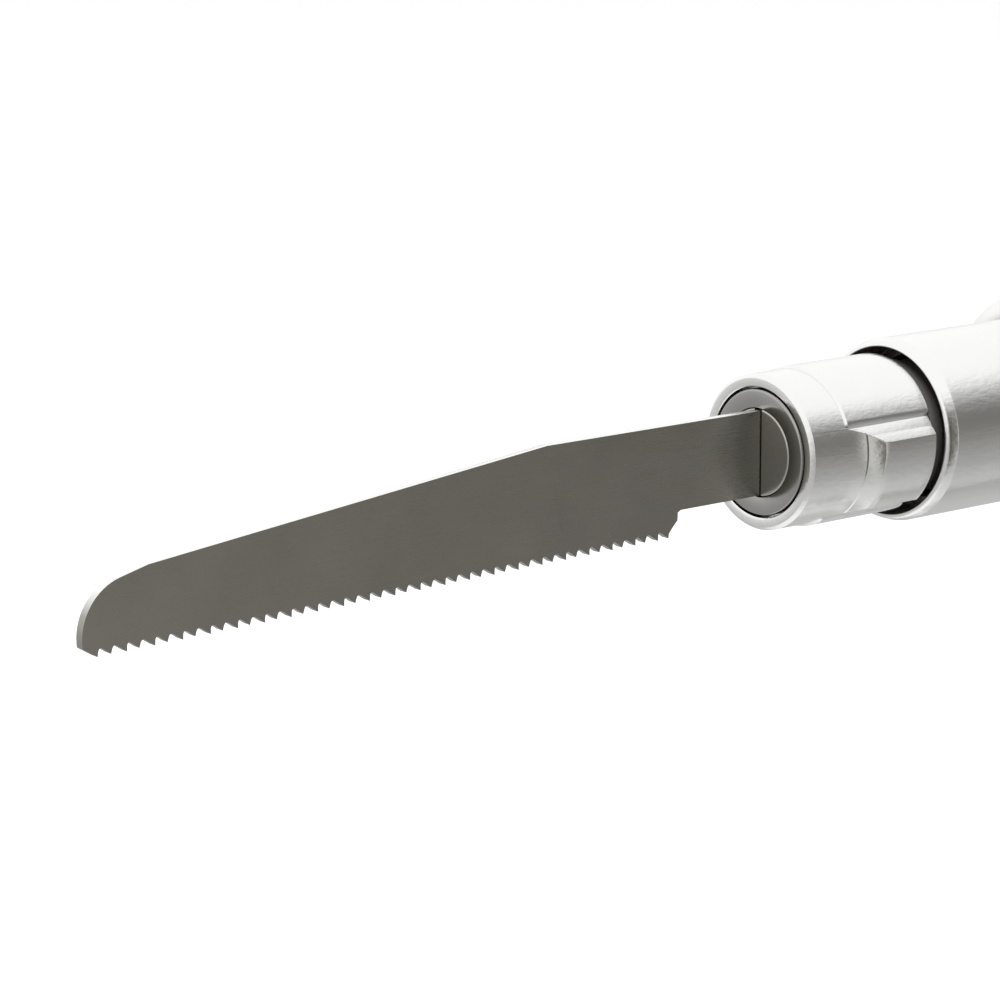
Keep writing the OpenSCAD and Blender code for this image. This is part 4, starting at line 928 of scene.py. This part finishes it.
# What is cut out of the housing: the tube's bore by radius and end, the cap's seat, and the rooms in the grip
BORE_STEPS = ((17.61, 96.52), (14.6, 99.52))
CAP_SEAT_R = 16.2
CAP_SEAT = 4.0
THREAD_R = 1.27
ROOM = (15.8, 11.8, 11.5)
ROOM_Z = (52.0, 118.0)
UPPER_Z = (117.0, 137.0)
UPPER_WALL = (-0.4, 3.6)
UPPER_ROUND = (6.9, 5.9)
TRIGGER_Z = 121.0
TRIGGER = (12.0, 6.0, 5.7)
TRIGGER_X = (-29.0, -10.6)
TRIGGER_GAP = 0.2
TRIGGER_BUSH_R = 4.52
SAFETY_X = 12.0
SAFETY_BORE_R = 2.64
CABLE_X = 7.9
CABLE_R = 3.0
CAP_BOLT_RING = 18.1
CAP_BOLT_ANGLES = (45, 135, 225, 315)
TERMINAL_Y = (-6.0, 0.0, 6.0)
TERMINAL_HALF = (2.2, 0.6)
LATCH_X = (25.1, 27.9)
LATCH_HALF = 4.2
# The foot's channel for the pack's rails: a neck and a wider head, and where they end
RAIL_FRONT = -32.0
RAIL_END = 18.0
RAIL_HALF = (12.0, 15.0)
RAIL_Z = (45.0, 48.0, 50.0)
RAIL_GAP = 0.15


def swell(z):
    """How much of its full swell the grip has at a height."""
    return sin(pi * share_of(z, *GRIP_Z)) ** 2


def cap_bolt_places(x):
    """The cap bolts' places round the axis."""
    for angle in CAP_BOLT_ANGLES:
        yield x, CAP_BOLT_RING * cos(radians(angle)), AXIS_Z + CAP_BOLT_RING * sin(radians(angle))


def chamfer_ring(x, into, size):
    """A three-cornered ring that takes the edge off the tube's end at x, into the metal forwards or back."""
    past = 0.05
    end, top = x - into * past + FACE_X, HEAD_R + past
    return lathe([(end, top), (x + into * size + FACE_X, top), (end, HEAD_R - size)], 128)


class SAW_OT_body(bpy.types.Operator):
    """Makes the cast housing: motor tube, grip and foot with the fillets between them"""
    bl_idname = "saw.body"
    bl_label = "Housing and Grip"

    def execute(self, context):
        bm = bmesh.new()
        loops = [rounded_loop(bm, *level) for level in self.levels()]
        for below, above in zip(loops, loops[1:]):
            bmesh.ops.bridge_loops(bm, edges=below + above)
        bmesh.ops.holes_fill(bm, edges=open_edges(bm))
        bmesh.ops.recalc_face_normals(bm, faces=bm.faces[:])
        piece = make_object(bm, "grip_body", "housing_aluminium", "saw_body", 35, "body_housing")
        tube = rod((HEAD_X[0] - 2, 0, AXIS_Z), ALONG, HEAD_R, HEAD_X[1] - HEAD_X[0] + 4, 192)
        combine(piece, [tube], "UNION")
        cast(piece, sizes().cast_grain, 35)
        bm = bmesh.new()
        bm.from_mesh(piece.data)
        # The grip runs into the tube and the foot in fillets, and the facets' small steps are taken off
        reach, top, half = FILLET
        soften(bm, 40, lambda p: abs(hypot(p.y, p.z - AXIS_Z) - HEAD_R) < reach and p.z < top
               and abs(p.x) < half)
        soften(bm, 12, lambda p: 50 < p.z < 70)
        soften(bm, 2, lambda p: True)
        for v in bm.verts:
            y, z = v.co.y / MM, v.co.z / MM - AXIS_Z
            r = hypot(y, z)
            if abs(r - HEAD_R) < SNAP:
                v.co = spot(v.co.x / MM, y * HEAD_R / r, AXIS_Z + z * HEAD_R / r)
        self.trim(bm, spot(HEAD_X[0], 0, 0), -ALONG, 100)
        self.trim(bm, spot(HEAD_X[1], 0, 0), ALONG, 100)
        self.trim(bm, spot(0, 0, FOOT_Z[0]), -UP, 0)
        bm.to_mesh(piece.data)
        bm.free()
        combine(piece, self.hollows(), sharp=38)
        return {"FINISHED"}

    def levels(self):
        """The level loops of foot and grip from below: height, front, back, half width and corner."""
        for z, half, width, turn in ((FOOT_Z[0] - 3, *FOOT_HALF), (FOOT_Z[1], *FOOT_HALF), *FOOT_FLARE):
            yield z, -half, half, width, turn
        start = FOOT_FLARE[-1][0]
        for i in range(1, GRIP_LEVELS + 1):
            z = start + (GRIP_TOP - start) * i / GRIP_LEVELS
            front, back = (GRIP_HALF + bulge * swell(z) for bulge in GRIP_SWELL)
            yield z, -front, back, GRIP_W, GRIP_ROUND

    def trim(self, bm, place, way, over_z):
        """Cuts the casting flat at a plane, above a height."""
        edges = [e for e in bm.edges if min(v.co.z for v in e.verts) > over_z * MM]
        # Dictionaries keep their order, so that every run cuts alike
        faces = dict.fromkeys(f for e in edges for f in e.link_faces)
        verts = dict.fromkeys(v for f in faces for v in f.verts)
        edges = dict.fromkeys(e for f in faces for e in f.edges)
        bmesh.ops.bisect_plane(bm, geom=[*verts, *edges, *faces], dist=NEAR / 10 * MM, plane_co=place,
                               plane_no=way, clear_outer=True)
        bmesh.ops.holes_fill(bm, edges=open_edges(bm))
        bmesh.ops.recalc_face_normals(bm, faces=bm.faces[:])

    def hollows(self):
        """What is machined or cast out of the housing."""
        seam = sizes().seam / MM
        front, back = (x + FACE_X for x in HEAD_X)
        bore = [(front - OVERRUN, 0)]
        for radius, end in (*BORE_STEPS, (CAP_SEAT_R, back - CAP_SEAT), (CAP_SEAT_R + FIT, back + OVERRUN)):
            bore += [(bore[-1][0], radius), (end, radius)]
        bore.append((back + OVERRUN, 0))
        yield lathe(bore, 128, closed=False)
        yield chamfer_ring(HEAD_X[0], 1, seam)
        yield chamfer_ring(HEAD_X[1], -1, seam)
        for place in cap_bolt_places(HEAD_X[1] - 7):
            yield rod(place, ALONG, THREAD_R, 10, 24)
        half_l, half_w, corner = ROOM
        yield pillar(-half_l, half_l, half_w, *ROOM_Z, corner)
        yield pillar(-half_l, UPPER_WALL[0], half_w, *UPPER_Z, UPPER_ROUND[0])
        yield pillar(UPPER_WALL[1], half_l, half_w, *UPPER_Z, UPPER_ROUND[1])
        yield rod((-3, 0, TRIGGER_Z), ALONG, TRIGGER_BUSH_R, 8)
        half_h, half_w, corner = (size + TRIGGER_GAP for size in TRIGGER)
        yield laid(pillar(-half_h, half_h, half_w, -40, -10.5, corner), TRIGGER_Z)
        yield rod((SAFETY_X, -31, TRIGGER_Z), SIDE, SAFETY_BORE_R, 30)
        yield rod((CABLE_X, 0, UPPER_Z[1] - OVERRUN), UP, CABLE_R, 12)
        neck, head = (half + RAIL_GAP for half in RAIL_HALF)
        end, top = RAIL_END + RAIL_GAP, RAIL_Z[2] + RAIL_GAP
        yield box(-70, end, -neck, neck, RAIL_Z[0], top)
        yield box(-70, end, -head, head, RAIL_Z[1] - RAIL_GAP, top)
        half_l, half_w = TERMINAL_HALF
        for y in TERMINAL_Y:
            yield box(-half_l, half_l, y - half_w, y + half_w, FOOT_Z[0] - HAIRLINE, FOOT_Z[1])
        yield box(*LATCH_X, -LATCH_HALF, LATCH_HALF, RAIL_Z[0], 49.2)


# End cap, as distances behind its seam: spigot, bearing's seat and the shaft's room
CAP_LEN = 10.99
CAP_DOME = 7.0
CAP_SPIGOT = (3.0, 14.2)
CAP_BEARING = (5.0, 10.49)
CAP_END_ROOM = (6.0, 9.49)
# The cap's screws sink into the cap, and the floor's into the floor: radius and depth or length of each part
CAP_SINK = 3.0
CAP_SINK_R = 2.15
CAP_SCREW = (1.25, 9.8, 1.85, 2.2)
CAP_KEY_R = 1.0


class SAW_OT_end_cap(bpy.types.Operator):
    """Makes the domed end cap and its four socket screws"""
    bl_idname = "saw.end_cap"
    bl_label = "End Cap and Screws"

    def execute(self, context):
        front = HEAD_X[1] + FACE_X + HAIRLINE
        back = front + CAP_LEN
        spigot = front - CAP_SPIGOT[0]
        bearing = front + CAP_BEARING[0]
        end = front + CAP_END_ROOM[0]
        profile = [(back, 0), (back, HEAD_R, CAP_DOME, 20), (front, HEAD_R, sizes().seam / MM, 3),
                   (front, CAP_SEAT_R), (spigot, CAP_SEAT_R), (spigot, CAP_SPIGOT[1]),
                   (front - 1, CAP_BEARING[1]), (bearing, CAP_BEARING[1]), (bearing, CAP_END_ROOM[1]),
                   (end, CAP_END_ROOM[1]), (end, 0)]
        cap = make_object(lathe(profile, sizes().around, closed=False), "end_cap", "housing_aluminium",
                          "saw_body", 30, "rear_cap")
        seat = HEAD_X[1] + CAP_SINK
        combine(cap, [rod(place, ALONG, THREAD_R, 12, 32) for place in cap_bolt_places(HEAD_X[1] - 1)])
        combine(cap, [rod(place, ALONG, CAP_SINK_R, 12, 48) for place in cap_bolt_places(seat)])
        bm = bmesh.new()
        for place in cap_bolt_places(seat):
            add_screw(bm, place, ALONG, *CAP_SCREW)
        bolts = make_object(bm, "cap_bolts", "bright_steel", "saw_body", 30, "cap_screws")
        combine(bolts, [rod(place, ALONG, CAP_KEY_R, 3, 6) for place in cap_bolt_places(seat + 1)], sharp=30)
        return {"FINISHED"}


def add_screw(bm, place, way, shank_r, shank, head_r, head_h):
    """A screw whose head sits on a place and whose shank runs back from it."""
    turned = stand_lathe([(head_h, 0), (head_h, head_r, 0.3, 4), (HAIRLINE, head_r, 0.1, 2),
                          (HAIRLINE, shank_r), (-shank, shank_r, 0.3, 2), (-shank, 0)], 48)
    bmesh.ops.transform(turned, matrix=Matrix.Translation(spot(*place)) @ pointed(way), verts=turned.verts[:])
    mesh = bpy.data.meshes.new("screw")
    turned.to_mesh(mesh)
    turned.free()
    bm.from_mesh(mesh)
    bpy.data.meshes.remove(mesh)


# Trigger and safety: the finger's hollow, the stem with its magnet's hole, the knob and its thumb tab
FINGER_R = 26.0
FINGER_DEPTH = 1.8
FINGER_TO = -23.0
STEM_R = 2.5
STEM_LEN = 19.2
MAGNET_X = 3.58
MAGNET_R = 1.62
KNOB_Y = -15.2
KNOB_R = 7.0
KNOB_H = 3.0
KNOB_BORE = (1.5, 2.62)
TAB = (-2.5, 8.0, 2.5, 1.6, 4.0, 2.3)
TAB_GROOVE = (0.25, 0.3, 1.7)
TAB_GROOVES_X = [SAFETY_X + x for x in (3.6, 4.8, 6.0)]


class SAW_OT_controls(bpy.types.Operator):
    """Makes the hollowed trigger with its stem, and the safety lever on the left"""
    bl_idname = "saw.controls"
    bl_label = "Trigger and Safety"

    def execute(self, context):
        self.make_trigger()
        self.make_safety()
        return {"FINISHED"}

    def make_trigger(self):
        half_h, half_w, corner = TRIGGER
        front, back = TRIGGER_X
        button = laid(pillar(-half_h, half_h, half_w, front, back, corner), TRIGGER_Z)
        trigger = make_object(button, "trigger_button", "control_plastic", "trigger_unit", 40, "trigger")
        combine(trigger, [rod((front - FINGER_R + FINGER_DEPTH, -10, TRIGGER_Z), SIDE, FINGER_R, 20, 192)])
        cast(trigger, sizes().moulded_detail, 40)
        bm = bmesh.new()
        bm.from_mesh(trigger.data)
        soften(bm, 10, lambda p: p.x < FINGER_TO)
        soften(bm, 2, lambda p: True)
        bm.to_mesh(trigger.data)
        bm.free()
        combine(trigger, [rod((back - 2, 0, TRIGGER_Z), ALONG, STEM_R, STEM_LEN)], "UNION")
        combine(trigger, [rod((MAGNET_X, 0, TRIGGER_Z), ALONG, MAGNET_R, 4)], sharp=40)

    def make_safety(self):
        depth, bore = KNOB_BORE
        knob = stand_lathe([(KNOB_H, 0), (KNOB_H, KNOB_R, 0.8, 6), (0, KNOB_R, 0.3, 3), (0, bore),
                            (depth, bore), (depth, 0)], 96)
        laid(knob, TRIGGER_Z, "X", SAFETY_X, KNOB_Y)
        safety = make_object(knob, "safety_lever", "control_plastic", "safety_unit", 30, "safety_knob")
        combine(safety, [laid(pillar(*TAB, top=0.7), TRIGGER_Z, "X", SAFETY_X, KNOB_Y)], "UNION", 30)
        half, depth, half_l = TAB_GROOVE
        combine(safety, [box(x - half, x + half, KNOB_Y - TAB[4] - 0.6, KNOB_Y - TAB[4] + depth,
                             TRIGGER_Z - half_l, TRIGGER_Z + half_l) for x in TAB_GROOVES_X], sharp=30)


# Battery: half length, half width and corner, then heights, wall, inner top and the latch button's place
PACK = (35.0, 23.0, 8.0)
PACK_Z = (3.01, 46.0)
PACK_WALL = 2.4
PACK_ROOF = 43.4
FLOOR_H = 3.0
FLOOR_BOLTS = [(x, y) for x in (-29.4, 29.4) for y in (-17.4, 17.4)]
POST_R = 3.0
FLOOR_THREAD_R = 1.22
FLOOR_SINK = 1.8
FLOOR_SINK_R = 2.5
FLOOR_SCREW = (1.2, 6.4, 2.3, 1.58)
FLOOR_KEY_R = 1.15
SLIT_BASE = 42.9
BUTTON_Z = (31.0, 40.0)
BUTTON_W = 7.0
BUTTON_RIBS = (33.1, 34.7, 36.3, 37.9)


class SAW_OT_battery(bpy.types.Operator):
    """Makes the battery's shell with its rails, its floor plate and the plate's screws"""
    bl_idname = "saw.battery"
    bl_label = "Battery"

    def execute(self, context):
        self.make_shell()
        half_l, half_w, corner = PACK
        plate = pillar(-half_l, half_l, half_w, 0, FLOOR_H, corner, top=0.3, bottom=0.8)
        floor = make_object(plate, "battery_floor", "pack_aluminium", "saw_body", 30, "battery_base")
        combine(floor, [rod((x, y, -1), UP, FLOOR_THREAD_R, 5, 24) for x, y in FLOOR_BOLTS])
        combine(floor, [rod((x, y, -1), UP, FLOOR_SINK_R, FLOOR_SINK + 1) for x, y in FLOOR_BOLTS], sharp=30)
        bm = bmesh.new()
        for x, y in FLOOR_BOLTS:
            add_screw(bm, (x, y, FLOOR_SINK), -UP, *FLOOR_SCREW)
        bolts = make_object(bm, "floor_bolts", "bright_steel", "saw_body", 30, "battery_screws")
        combine(bolts, [rod((x, y, -1), UP, FLOOR_KEY_R, 2.2, 6) for x, y in FLOOR_BOLTS], sharp=30)
        return {"FINISHED"}

    def make_shell(self):
        half_l, half_w, corner = PACK
        shell = pillar(-half_l, half_l, half_w, *PACK_Z, corner, top=sizes().pack_edge / MM, bottom=0.3)
        case = make_object(shell, "battery_shell", "pack_aluminium", "saw_body", 30, "battery_case")
        neck, head = RAIL_HALF
        low, shelf, top = RAIL_Z
        rails = [box(RAIL_FRONT, RAIL_END, -neck, neck, low, shelf + 0.5),
                 box(RAIL_FRONT, RAIL_END, -head, head, shelf, top)]
        combine(case, rails, "UNION")
        combine(case, [pillar(-half_l + PACK_WALL, half_l - PACK_WALL, half_w - PACK_WALL, 2.5, PACK_ROOF,
                              corner - PACK_WALL)])
        posts = [rod((x, y, PACK_Z[0]), UP, POST_R, 41) for x, y in FLOOR_BOLTS]
        combine(case, posts + [box(LATCH_X[1], 34, -BUTTON_W, BUTTON_W, 20, 22)], "UNION")
        cuts = [rod((x, y, -1), UP, FLOOR_THREAD_R, 12, 24) for x, y in FLOOR_BOLTS]
        slit_l, slit_w = TERMINAL_HALF
        cuts += [box(-slit_l, RAIL_END + 0.5, y - slit_w, y + slit_w, SLIT_BASE, top + 0.5)
                 for y in TERMINAL_Y]
        cuts += [box(*LATCH_X, -LATCH_HALF, LATCH_HALF, SLIT_BASE, PACK_Z[1] + 0.5),
                 box(32.1, 35.5, -BUTTON_W - 0.2, BUTTON_W + 0.2, BUTTON_Z[0] - 3.2, BUTTON_Z[1] + 0.2)]
        combine(case, cuts, sharp=30)


class SAW_OT_latch(bpy.types.Operator):
    """Makes the ribbed latch button and its hook plate"""
    bl_idname = "saw.latch"
    bl_label = "Battery Latch"

    def execute(self, context):
        (x0, x1), _, (_, top) = extent("battery_latch")
        plate_x = x0 + 2.4
        button = laid(pillar(-BUTTON_Z[1], -BUTTON_Z[0], BUTTON_W, plate_x - HAIRLINE, x1, 0.8, top=0.6), 0)
        latch = make_object(button, "latch_button", "control_plastic", "latch_unit", 30, "battery_latch")
        combine(latch, [box(x0, plate_x, -4, 4, BUTTON_Z[0], top)], "UNION")
        ribs = [box(x1 - 0.5, x1 + OVERRUN, -5.6, 5.6, z - 0.3, z + 0.3) for z in BUTTON_RIBS]
        combine(latch, ribs, sharp=30)
        return {"FINISHED"}


class SAW_OT_springs(bpy.types.Operator):
    """Winds the collar's, trigger's and latch's springs from round wire"""
    bl_idname = "saw.springs"
    bl_label = "Springs"

    def execute(self, context):
        self.wind("collar_coil", "collar_spring", "dark_steel", "plunger_unit", ALONG, 0.35, 4)
        self.wind("trigger_coil", "trigger_spring", "bright_steel", "trigger_unit", ALONG, 0.35, 4)
        latch_coil = self.wind("latch_coil", "latch_spring", "bright_steel", None, UP, 0.3, 6)
        # The latch's button squeezes its spring against the shell's shelf
        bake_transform(latch_coil)
        return {"FINISHED"}

    def wind(self, name, node, slot, body, way, wire_r, turns):
        """Winds one spring in the room that its CAD node takes."""
        low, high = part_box(node)
        middle = (low + high) / 2
        room = high - low
        across = SIDE if way == UP else UP
        coil_r = room.dot(across) / 2 - wire_r * MM
        start = middle - way * (room.dot(way) / 2 - wire_r * MM)
        rise = room.dot(way) - 2 * wire_r * MM
        steps = 36 * turns
        bm = bmesh.new()
        section = Matrix.Translation(start + across * coil_r) @ pointed(way.cross(across))
        bmesh.ops.create_circle(bm, cap_ends=False, segments=12, radius=wire_r * MM, matrix=section)
        bmesh.ops.spin(bm, geom=bm.verts[:] + bm.edges[:], cent=start, axis=way, dvec=way * rise / steps,
                       angle=2 * pi * turns, steps=steps, use_merge=False, use_normal_flip=False,
                       use_duplicate=False)
        bmesh.ops.holes_fill(bm, edges=open_edges(bm))
        bmesh.ops.recalc_face_normals(bm, faces=bm.faces[:])
        return make_object(bm, name, slot, body, 40, node)


class SAW_OT_frame_finishes(bpy.types.Operator):
    """Gives every CAD node that still shows its finish"""
    bl_idname = "saw.frame_finishes"
    bl_label = "Finishes of the Frame"

    def execute(self, context):
        slots = {part["node"]: part["material_slot"] for part in frame["record"]["subparts"]}
        for name, node in frame["nodes"].items():
            for place in node.material_slots:
                place.link = "OBJECT"
                place.material = finish(SLOT_FINISH[slots[name]])
        return {"FINISHED"}


# Stage

# The camera, fitted to the photograph: place in mm, turns about X, Y and Z in degrees, lens in mm
CAMERA_PLACE = (-375.329, -272.016, 234.583)
CAMERA_TURN = (78.0255, 0.1839, -39.6314)
CAMERA_LENS = 128.549

# The room's greys by height, from straight below at -1 to straight above at 1: at the left, and in front
LEFT_GREYS = [(-1, 0.7), (-0.76, 0.62), (-0.5, 0.39), (-0.2, (0.275, 0.27, 0.26, 1)),
              (0.05, (0.18, 0.172, 0.16, 1)), (0.25, (0.17, 0.165, 0.155, 1)), (0.4, 0.3), (0.52, 0.6),
              (0.64, 1.0)]
FRONT_GREYS = [(-1, 1.0), (-0.88, 0.9), (-0.72, 0.5), (-0.3, 0.52), (-0.1, 0.62), (0.12, 0.9), (0.3, 1.0)]

# Two dark things with a bright gap between them, by bearing in degrees, and how far up and down they reach
DARK = (0.1, 0.09, 0.078)
THINGS = [(-120, (*DARK, 0)), (-110, (*DARK, 1)), (-79, (*DARK, 1)), (-74.5, (0.35, 0.34, 0.32, 1)),
          (-71.5, (0.68, 0.68, 0.67, 1)), (-66, (0.62, 0.62, 0.61, 1)), (-62, (0.45, 0.44, 0.42, 1)),
          (-57, (0.26, 0.24, 0.215, 0.6)), (-52, (0.16, 0.15, 0.135, 0))]
THINGS_REACH = [(-0.8, 0.0), (-0.45, 1.0), (0.2, 1.0), (0.45, 0.0)]
GLOW = 1.1


def ramp(stops, low, high):
    """Stops given from low to high, on a ramp's own range from 0 to 1."""
    return [((place - low) / (high - low), value) for place, value in stops]


def studio_surround():
    """The room that the metal reflects: white above, grey in front, dark at the saw's left and lower left
    with a bright gap between two dark things there."""
    material, tree = blank_material("studio_surround")
    place = add_node(tree, "ShaderNodeTexCoord").outputs["Object"]
    way = add_node(tree, "ShaderNodeVectorMath", {0: place}, operation="NORMALIZE").outputs[0]
    parts = add_node(tree, "ShaderNodeSeparateXYZ", {"Vector": way})
    height = add_node(tree, "ShaderNodeMapRange", {0: parts.outputs["Z"], 1: -1.0, 2: 1.0}).outputs[0]
    left = add_node(tree, "ShaderNodeValToRGB", {"Fac": height}, ramp(LEFT_GREYS, -1, 1))
    front = add_node(tree, "ShaderNodeValToRGB", {"Fac": height}, ramp(FRONT_GREYS, -1, 1))
    side = add_node(tree, "ShaderNodeVectorMath", {0: way, 1: (0.45, -0.89, 0.0)}, operation="DOT_PRODUCT")
    blend = add_node(tree, "ShaderNodeMapRange", {0: side.outputs["Value"], 1: 0.0, 2: 0.55},
                     interpolation_type="SMOOTHSTEP")
    room = add_node(tree, "ShaderNodeMix", {0: blend.outputs[0], 6: front.outputs["Color"],
                                            7: left.outputs["Color"]}, data_type="RGBA")
    bearing = add_node(tree, "ShaderNodeMath", {0: parts.outputs["Y"], 1: parts.outputs["X"]},
                       operation="ARCTAN2")
    around = add_node(tree, "ShaderNodeMapRange", {0: bearing.outputs[0], 1: -pi, 2: pi}).outputs[0]
    things = add_node(tree, "ShaderNodeValToRGB", {"Fac": around}, ramp(THINGS, -180, 180))
    reach = add_node(tree, "ShaderNodeValToRGB", {"Fac": height}, ramp(THINGS_REACH, -1, 1))
    amount = add_node(tree, "ShaderNodeMath", {0: things.outputs["Alpha"], 1: reach.outputs["Color"]},
                      operation="MULTIPLY")
    seen = add_node(tree, "ShaderNodeMix", {0: amount.outputs[0], 6: room.outputs[2],
                                            7: things.outputs["Color"]}, data_type="RGBA")
    glow = add_node(tree, "ShaderNodeEmission", {"Color": seen.outputs[2], "Strength": GLOW})
    add_node(tree, "ShaderNodeOutputMaterial", {"Surface": glow.outputs[0]})
    return material


def studio_card():
    """Matt white studio card with a faint paper grain."""
    return moulding("studio_card", colours().floor, 0.9, 1.45, 1.5, 0.01, tint=0.01)


def stage_object(bm, name, material):
    """A part of the stage, with its material."""
    mesh = bpy.data.meshes.new(name)
    bm.to_mesh(mesh)
    bm.free()
    mesh.materials.append(material)
    thing = bpy.data.objects.new(name, mesh)
    bpy.context.scene.collection.objects.link(thing)
    return thing


class SAW_OT_stage(bpy.types.Operator):
    """Makes the camera, the pale floor, the studio light and what the metal reflects"""
    bl_idname = "saw.stage"
    bl_label = "Camera, Floor and Light"

    def execute(self, context):
        scene = context.scene
        camera = bpy.data.objects.new("camera", bpy.data.cameras.new("camera"))
        scene.collection.objects.link(camera)
        turn = Euler([radians(angle) for angle in CAMERA_TURN]).to_matrix().to_4x4()
        camera.matrix_world = Matrix.Translation(spot(*CAMERA_PLACE)) @ turn
        camera.data.sensor_width = 36
        camera.data.lens = CAMERA_LENS
        camera.data.clip_start = 0.01
        camera.data.clip_end = 100
        scene.camera = camera

        bm = bmesh.new()
        bmesh.ops.create_circle(bm, cap_ends=True, segments=96, radius=6.0)
        floor = stage_object(bm, "floor", studio_card())
        floor.visible_glossy = False
        bm = bmesh.new()
        bmesh.ops.create_icosphere(bm, subdivisions=5, radius=8.0)
        surround = stage_object(bm, "surround", studio_surround())
        surround.visible_camera = False
        surround.visible_diffuse = False
        surround.visible_transmission = False
        surround.visible_volume_scatter = False
        surround.visible_shadow = False

        world = bpy.data.worlds.new("studio")
        world.use_nodes = True
        world.node_tree.nodes.clear()
        glow = add_node(world.node_tree, "ShaderNodeBackground", {"Color": (1, 1, 1, 1), "Strength": 1.0})
        add_node(world.node_tree, "ShaderNodeOutputWorld", {"Surface": glow.outputs[0]})
        scene.world = world
        lamp = bpy.data.lights.new("softbox", "AREA")
        lamp.shape = "DISK"
        lamp.size = 1.2
        lamp.energy = 14.0
        softbox = bpy.data.objects.new("softbox", lamp)
        softbox.matrix_world = Matrix.Translation((-0.3, -0.3, 1.6)) @ Matrix.Rotation(radians(-15), 4, "Y")
        softbox.visible_glossy = False
        scene.collection.objects.link(softbox)
        scene.view_settings.view_transform = "Standard"
        scene.view_settings.look = "None"
        return {"FINISHED"}


OPERATORS = (SAW_OT_stage, SAW_OT_frame_finishes, SAW_OT_blade, SAW_OT_plunger, SAW_OT_chuck_ring,
             SAW_OT_collar, SAW_OT_barrel, SAW_OT_nose, SAW_OT_body, SAW_OT_end_cap, SAW_OT_controls,
             SAW_OT_battery, SAW_OT_latch, SAW_OT_springs)


class SAW_PT_pieces(bpy.types.Panel):
    """Lists the saw's pieces and settings"""
    bl_idname = "SAW_PT_pieces"
    bl_label = "Saw"
    bl_space_type = "VIEW_3D"
    bl_region_type = "UI"
    bl_category = "Saw"

    def draw(self, context):
        for operator in OPERATORS:
            self.layout.operator(operator.bl_idname)
        for group in (context.scene.saw_sizes, context.scene.saw_colours):
            for name in group.__annotations__:
                self.layout.prop(group, name)


CLASSES = (SawSizes, SawColours) + OPERATORS + (SAW_PT_pieces,)


def register():
    for cls in CLASSES:
        bpy.utils.register_class(cls)
    bpy.types.Scene.saw_sizes = PointerProperty(type=SawSizes)
    bpy.types.Scene.saw_colours = PointerProperty(type=SawColours)


def unregister():
    del bpy.types.Scene.saw_colours
    del bpy.types.Scene.saw_sizes
    for cls in reversed(CLASSES):
        bpy.utils.unregister_class(cls)


def main():
    register()
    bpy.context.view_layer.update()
    for operator in OPERATORS:
        getattr(bpy.ops.saw, operator.bl_idname.removeprefix("saw."))()


if __name__ == "__main__":
    main()
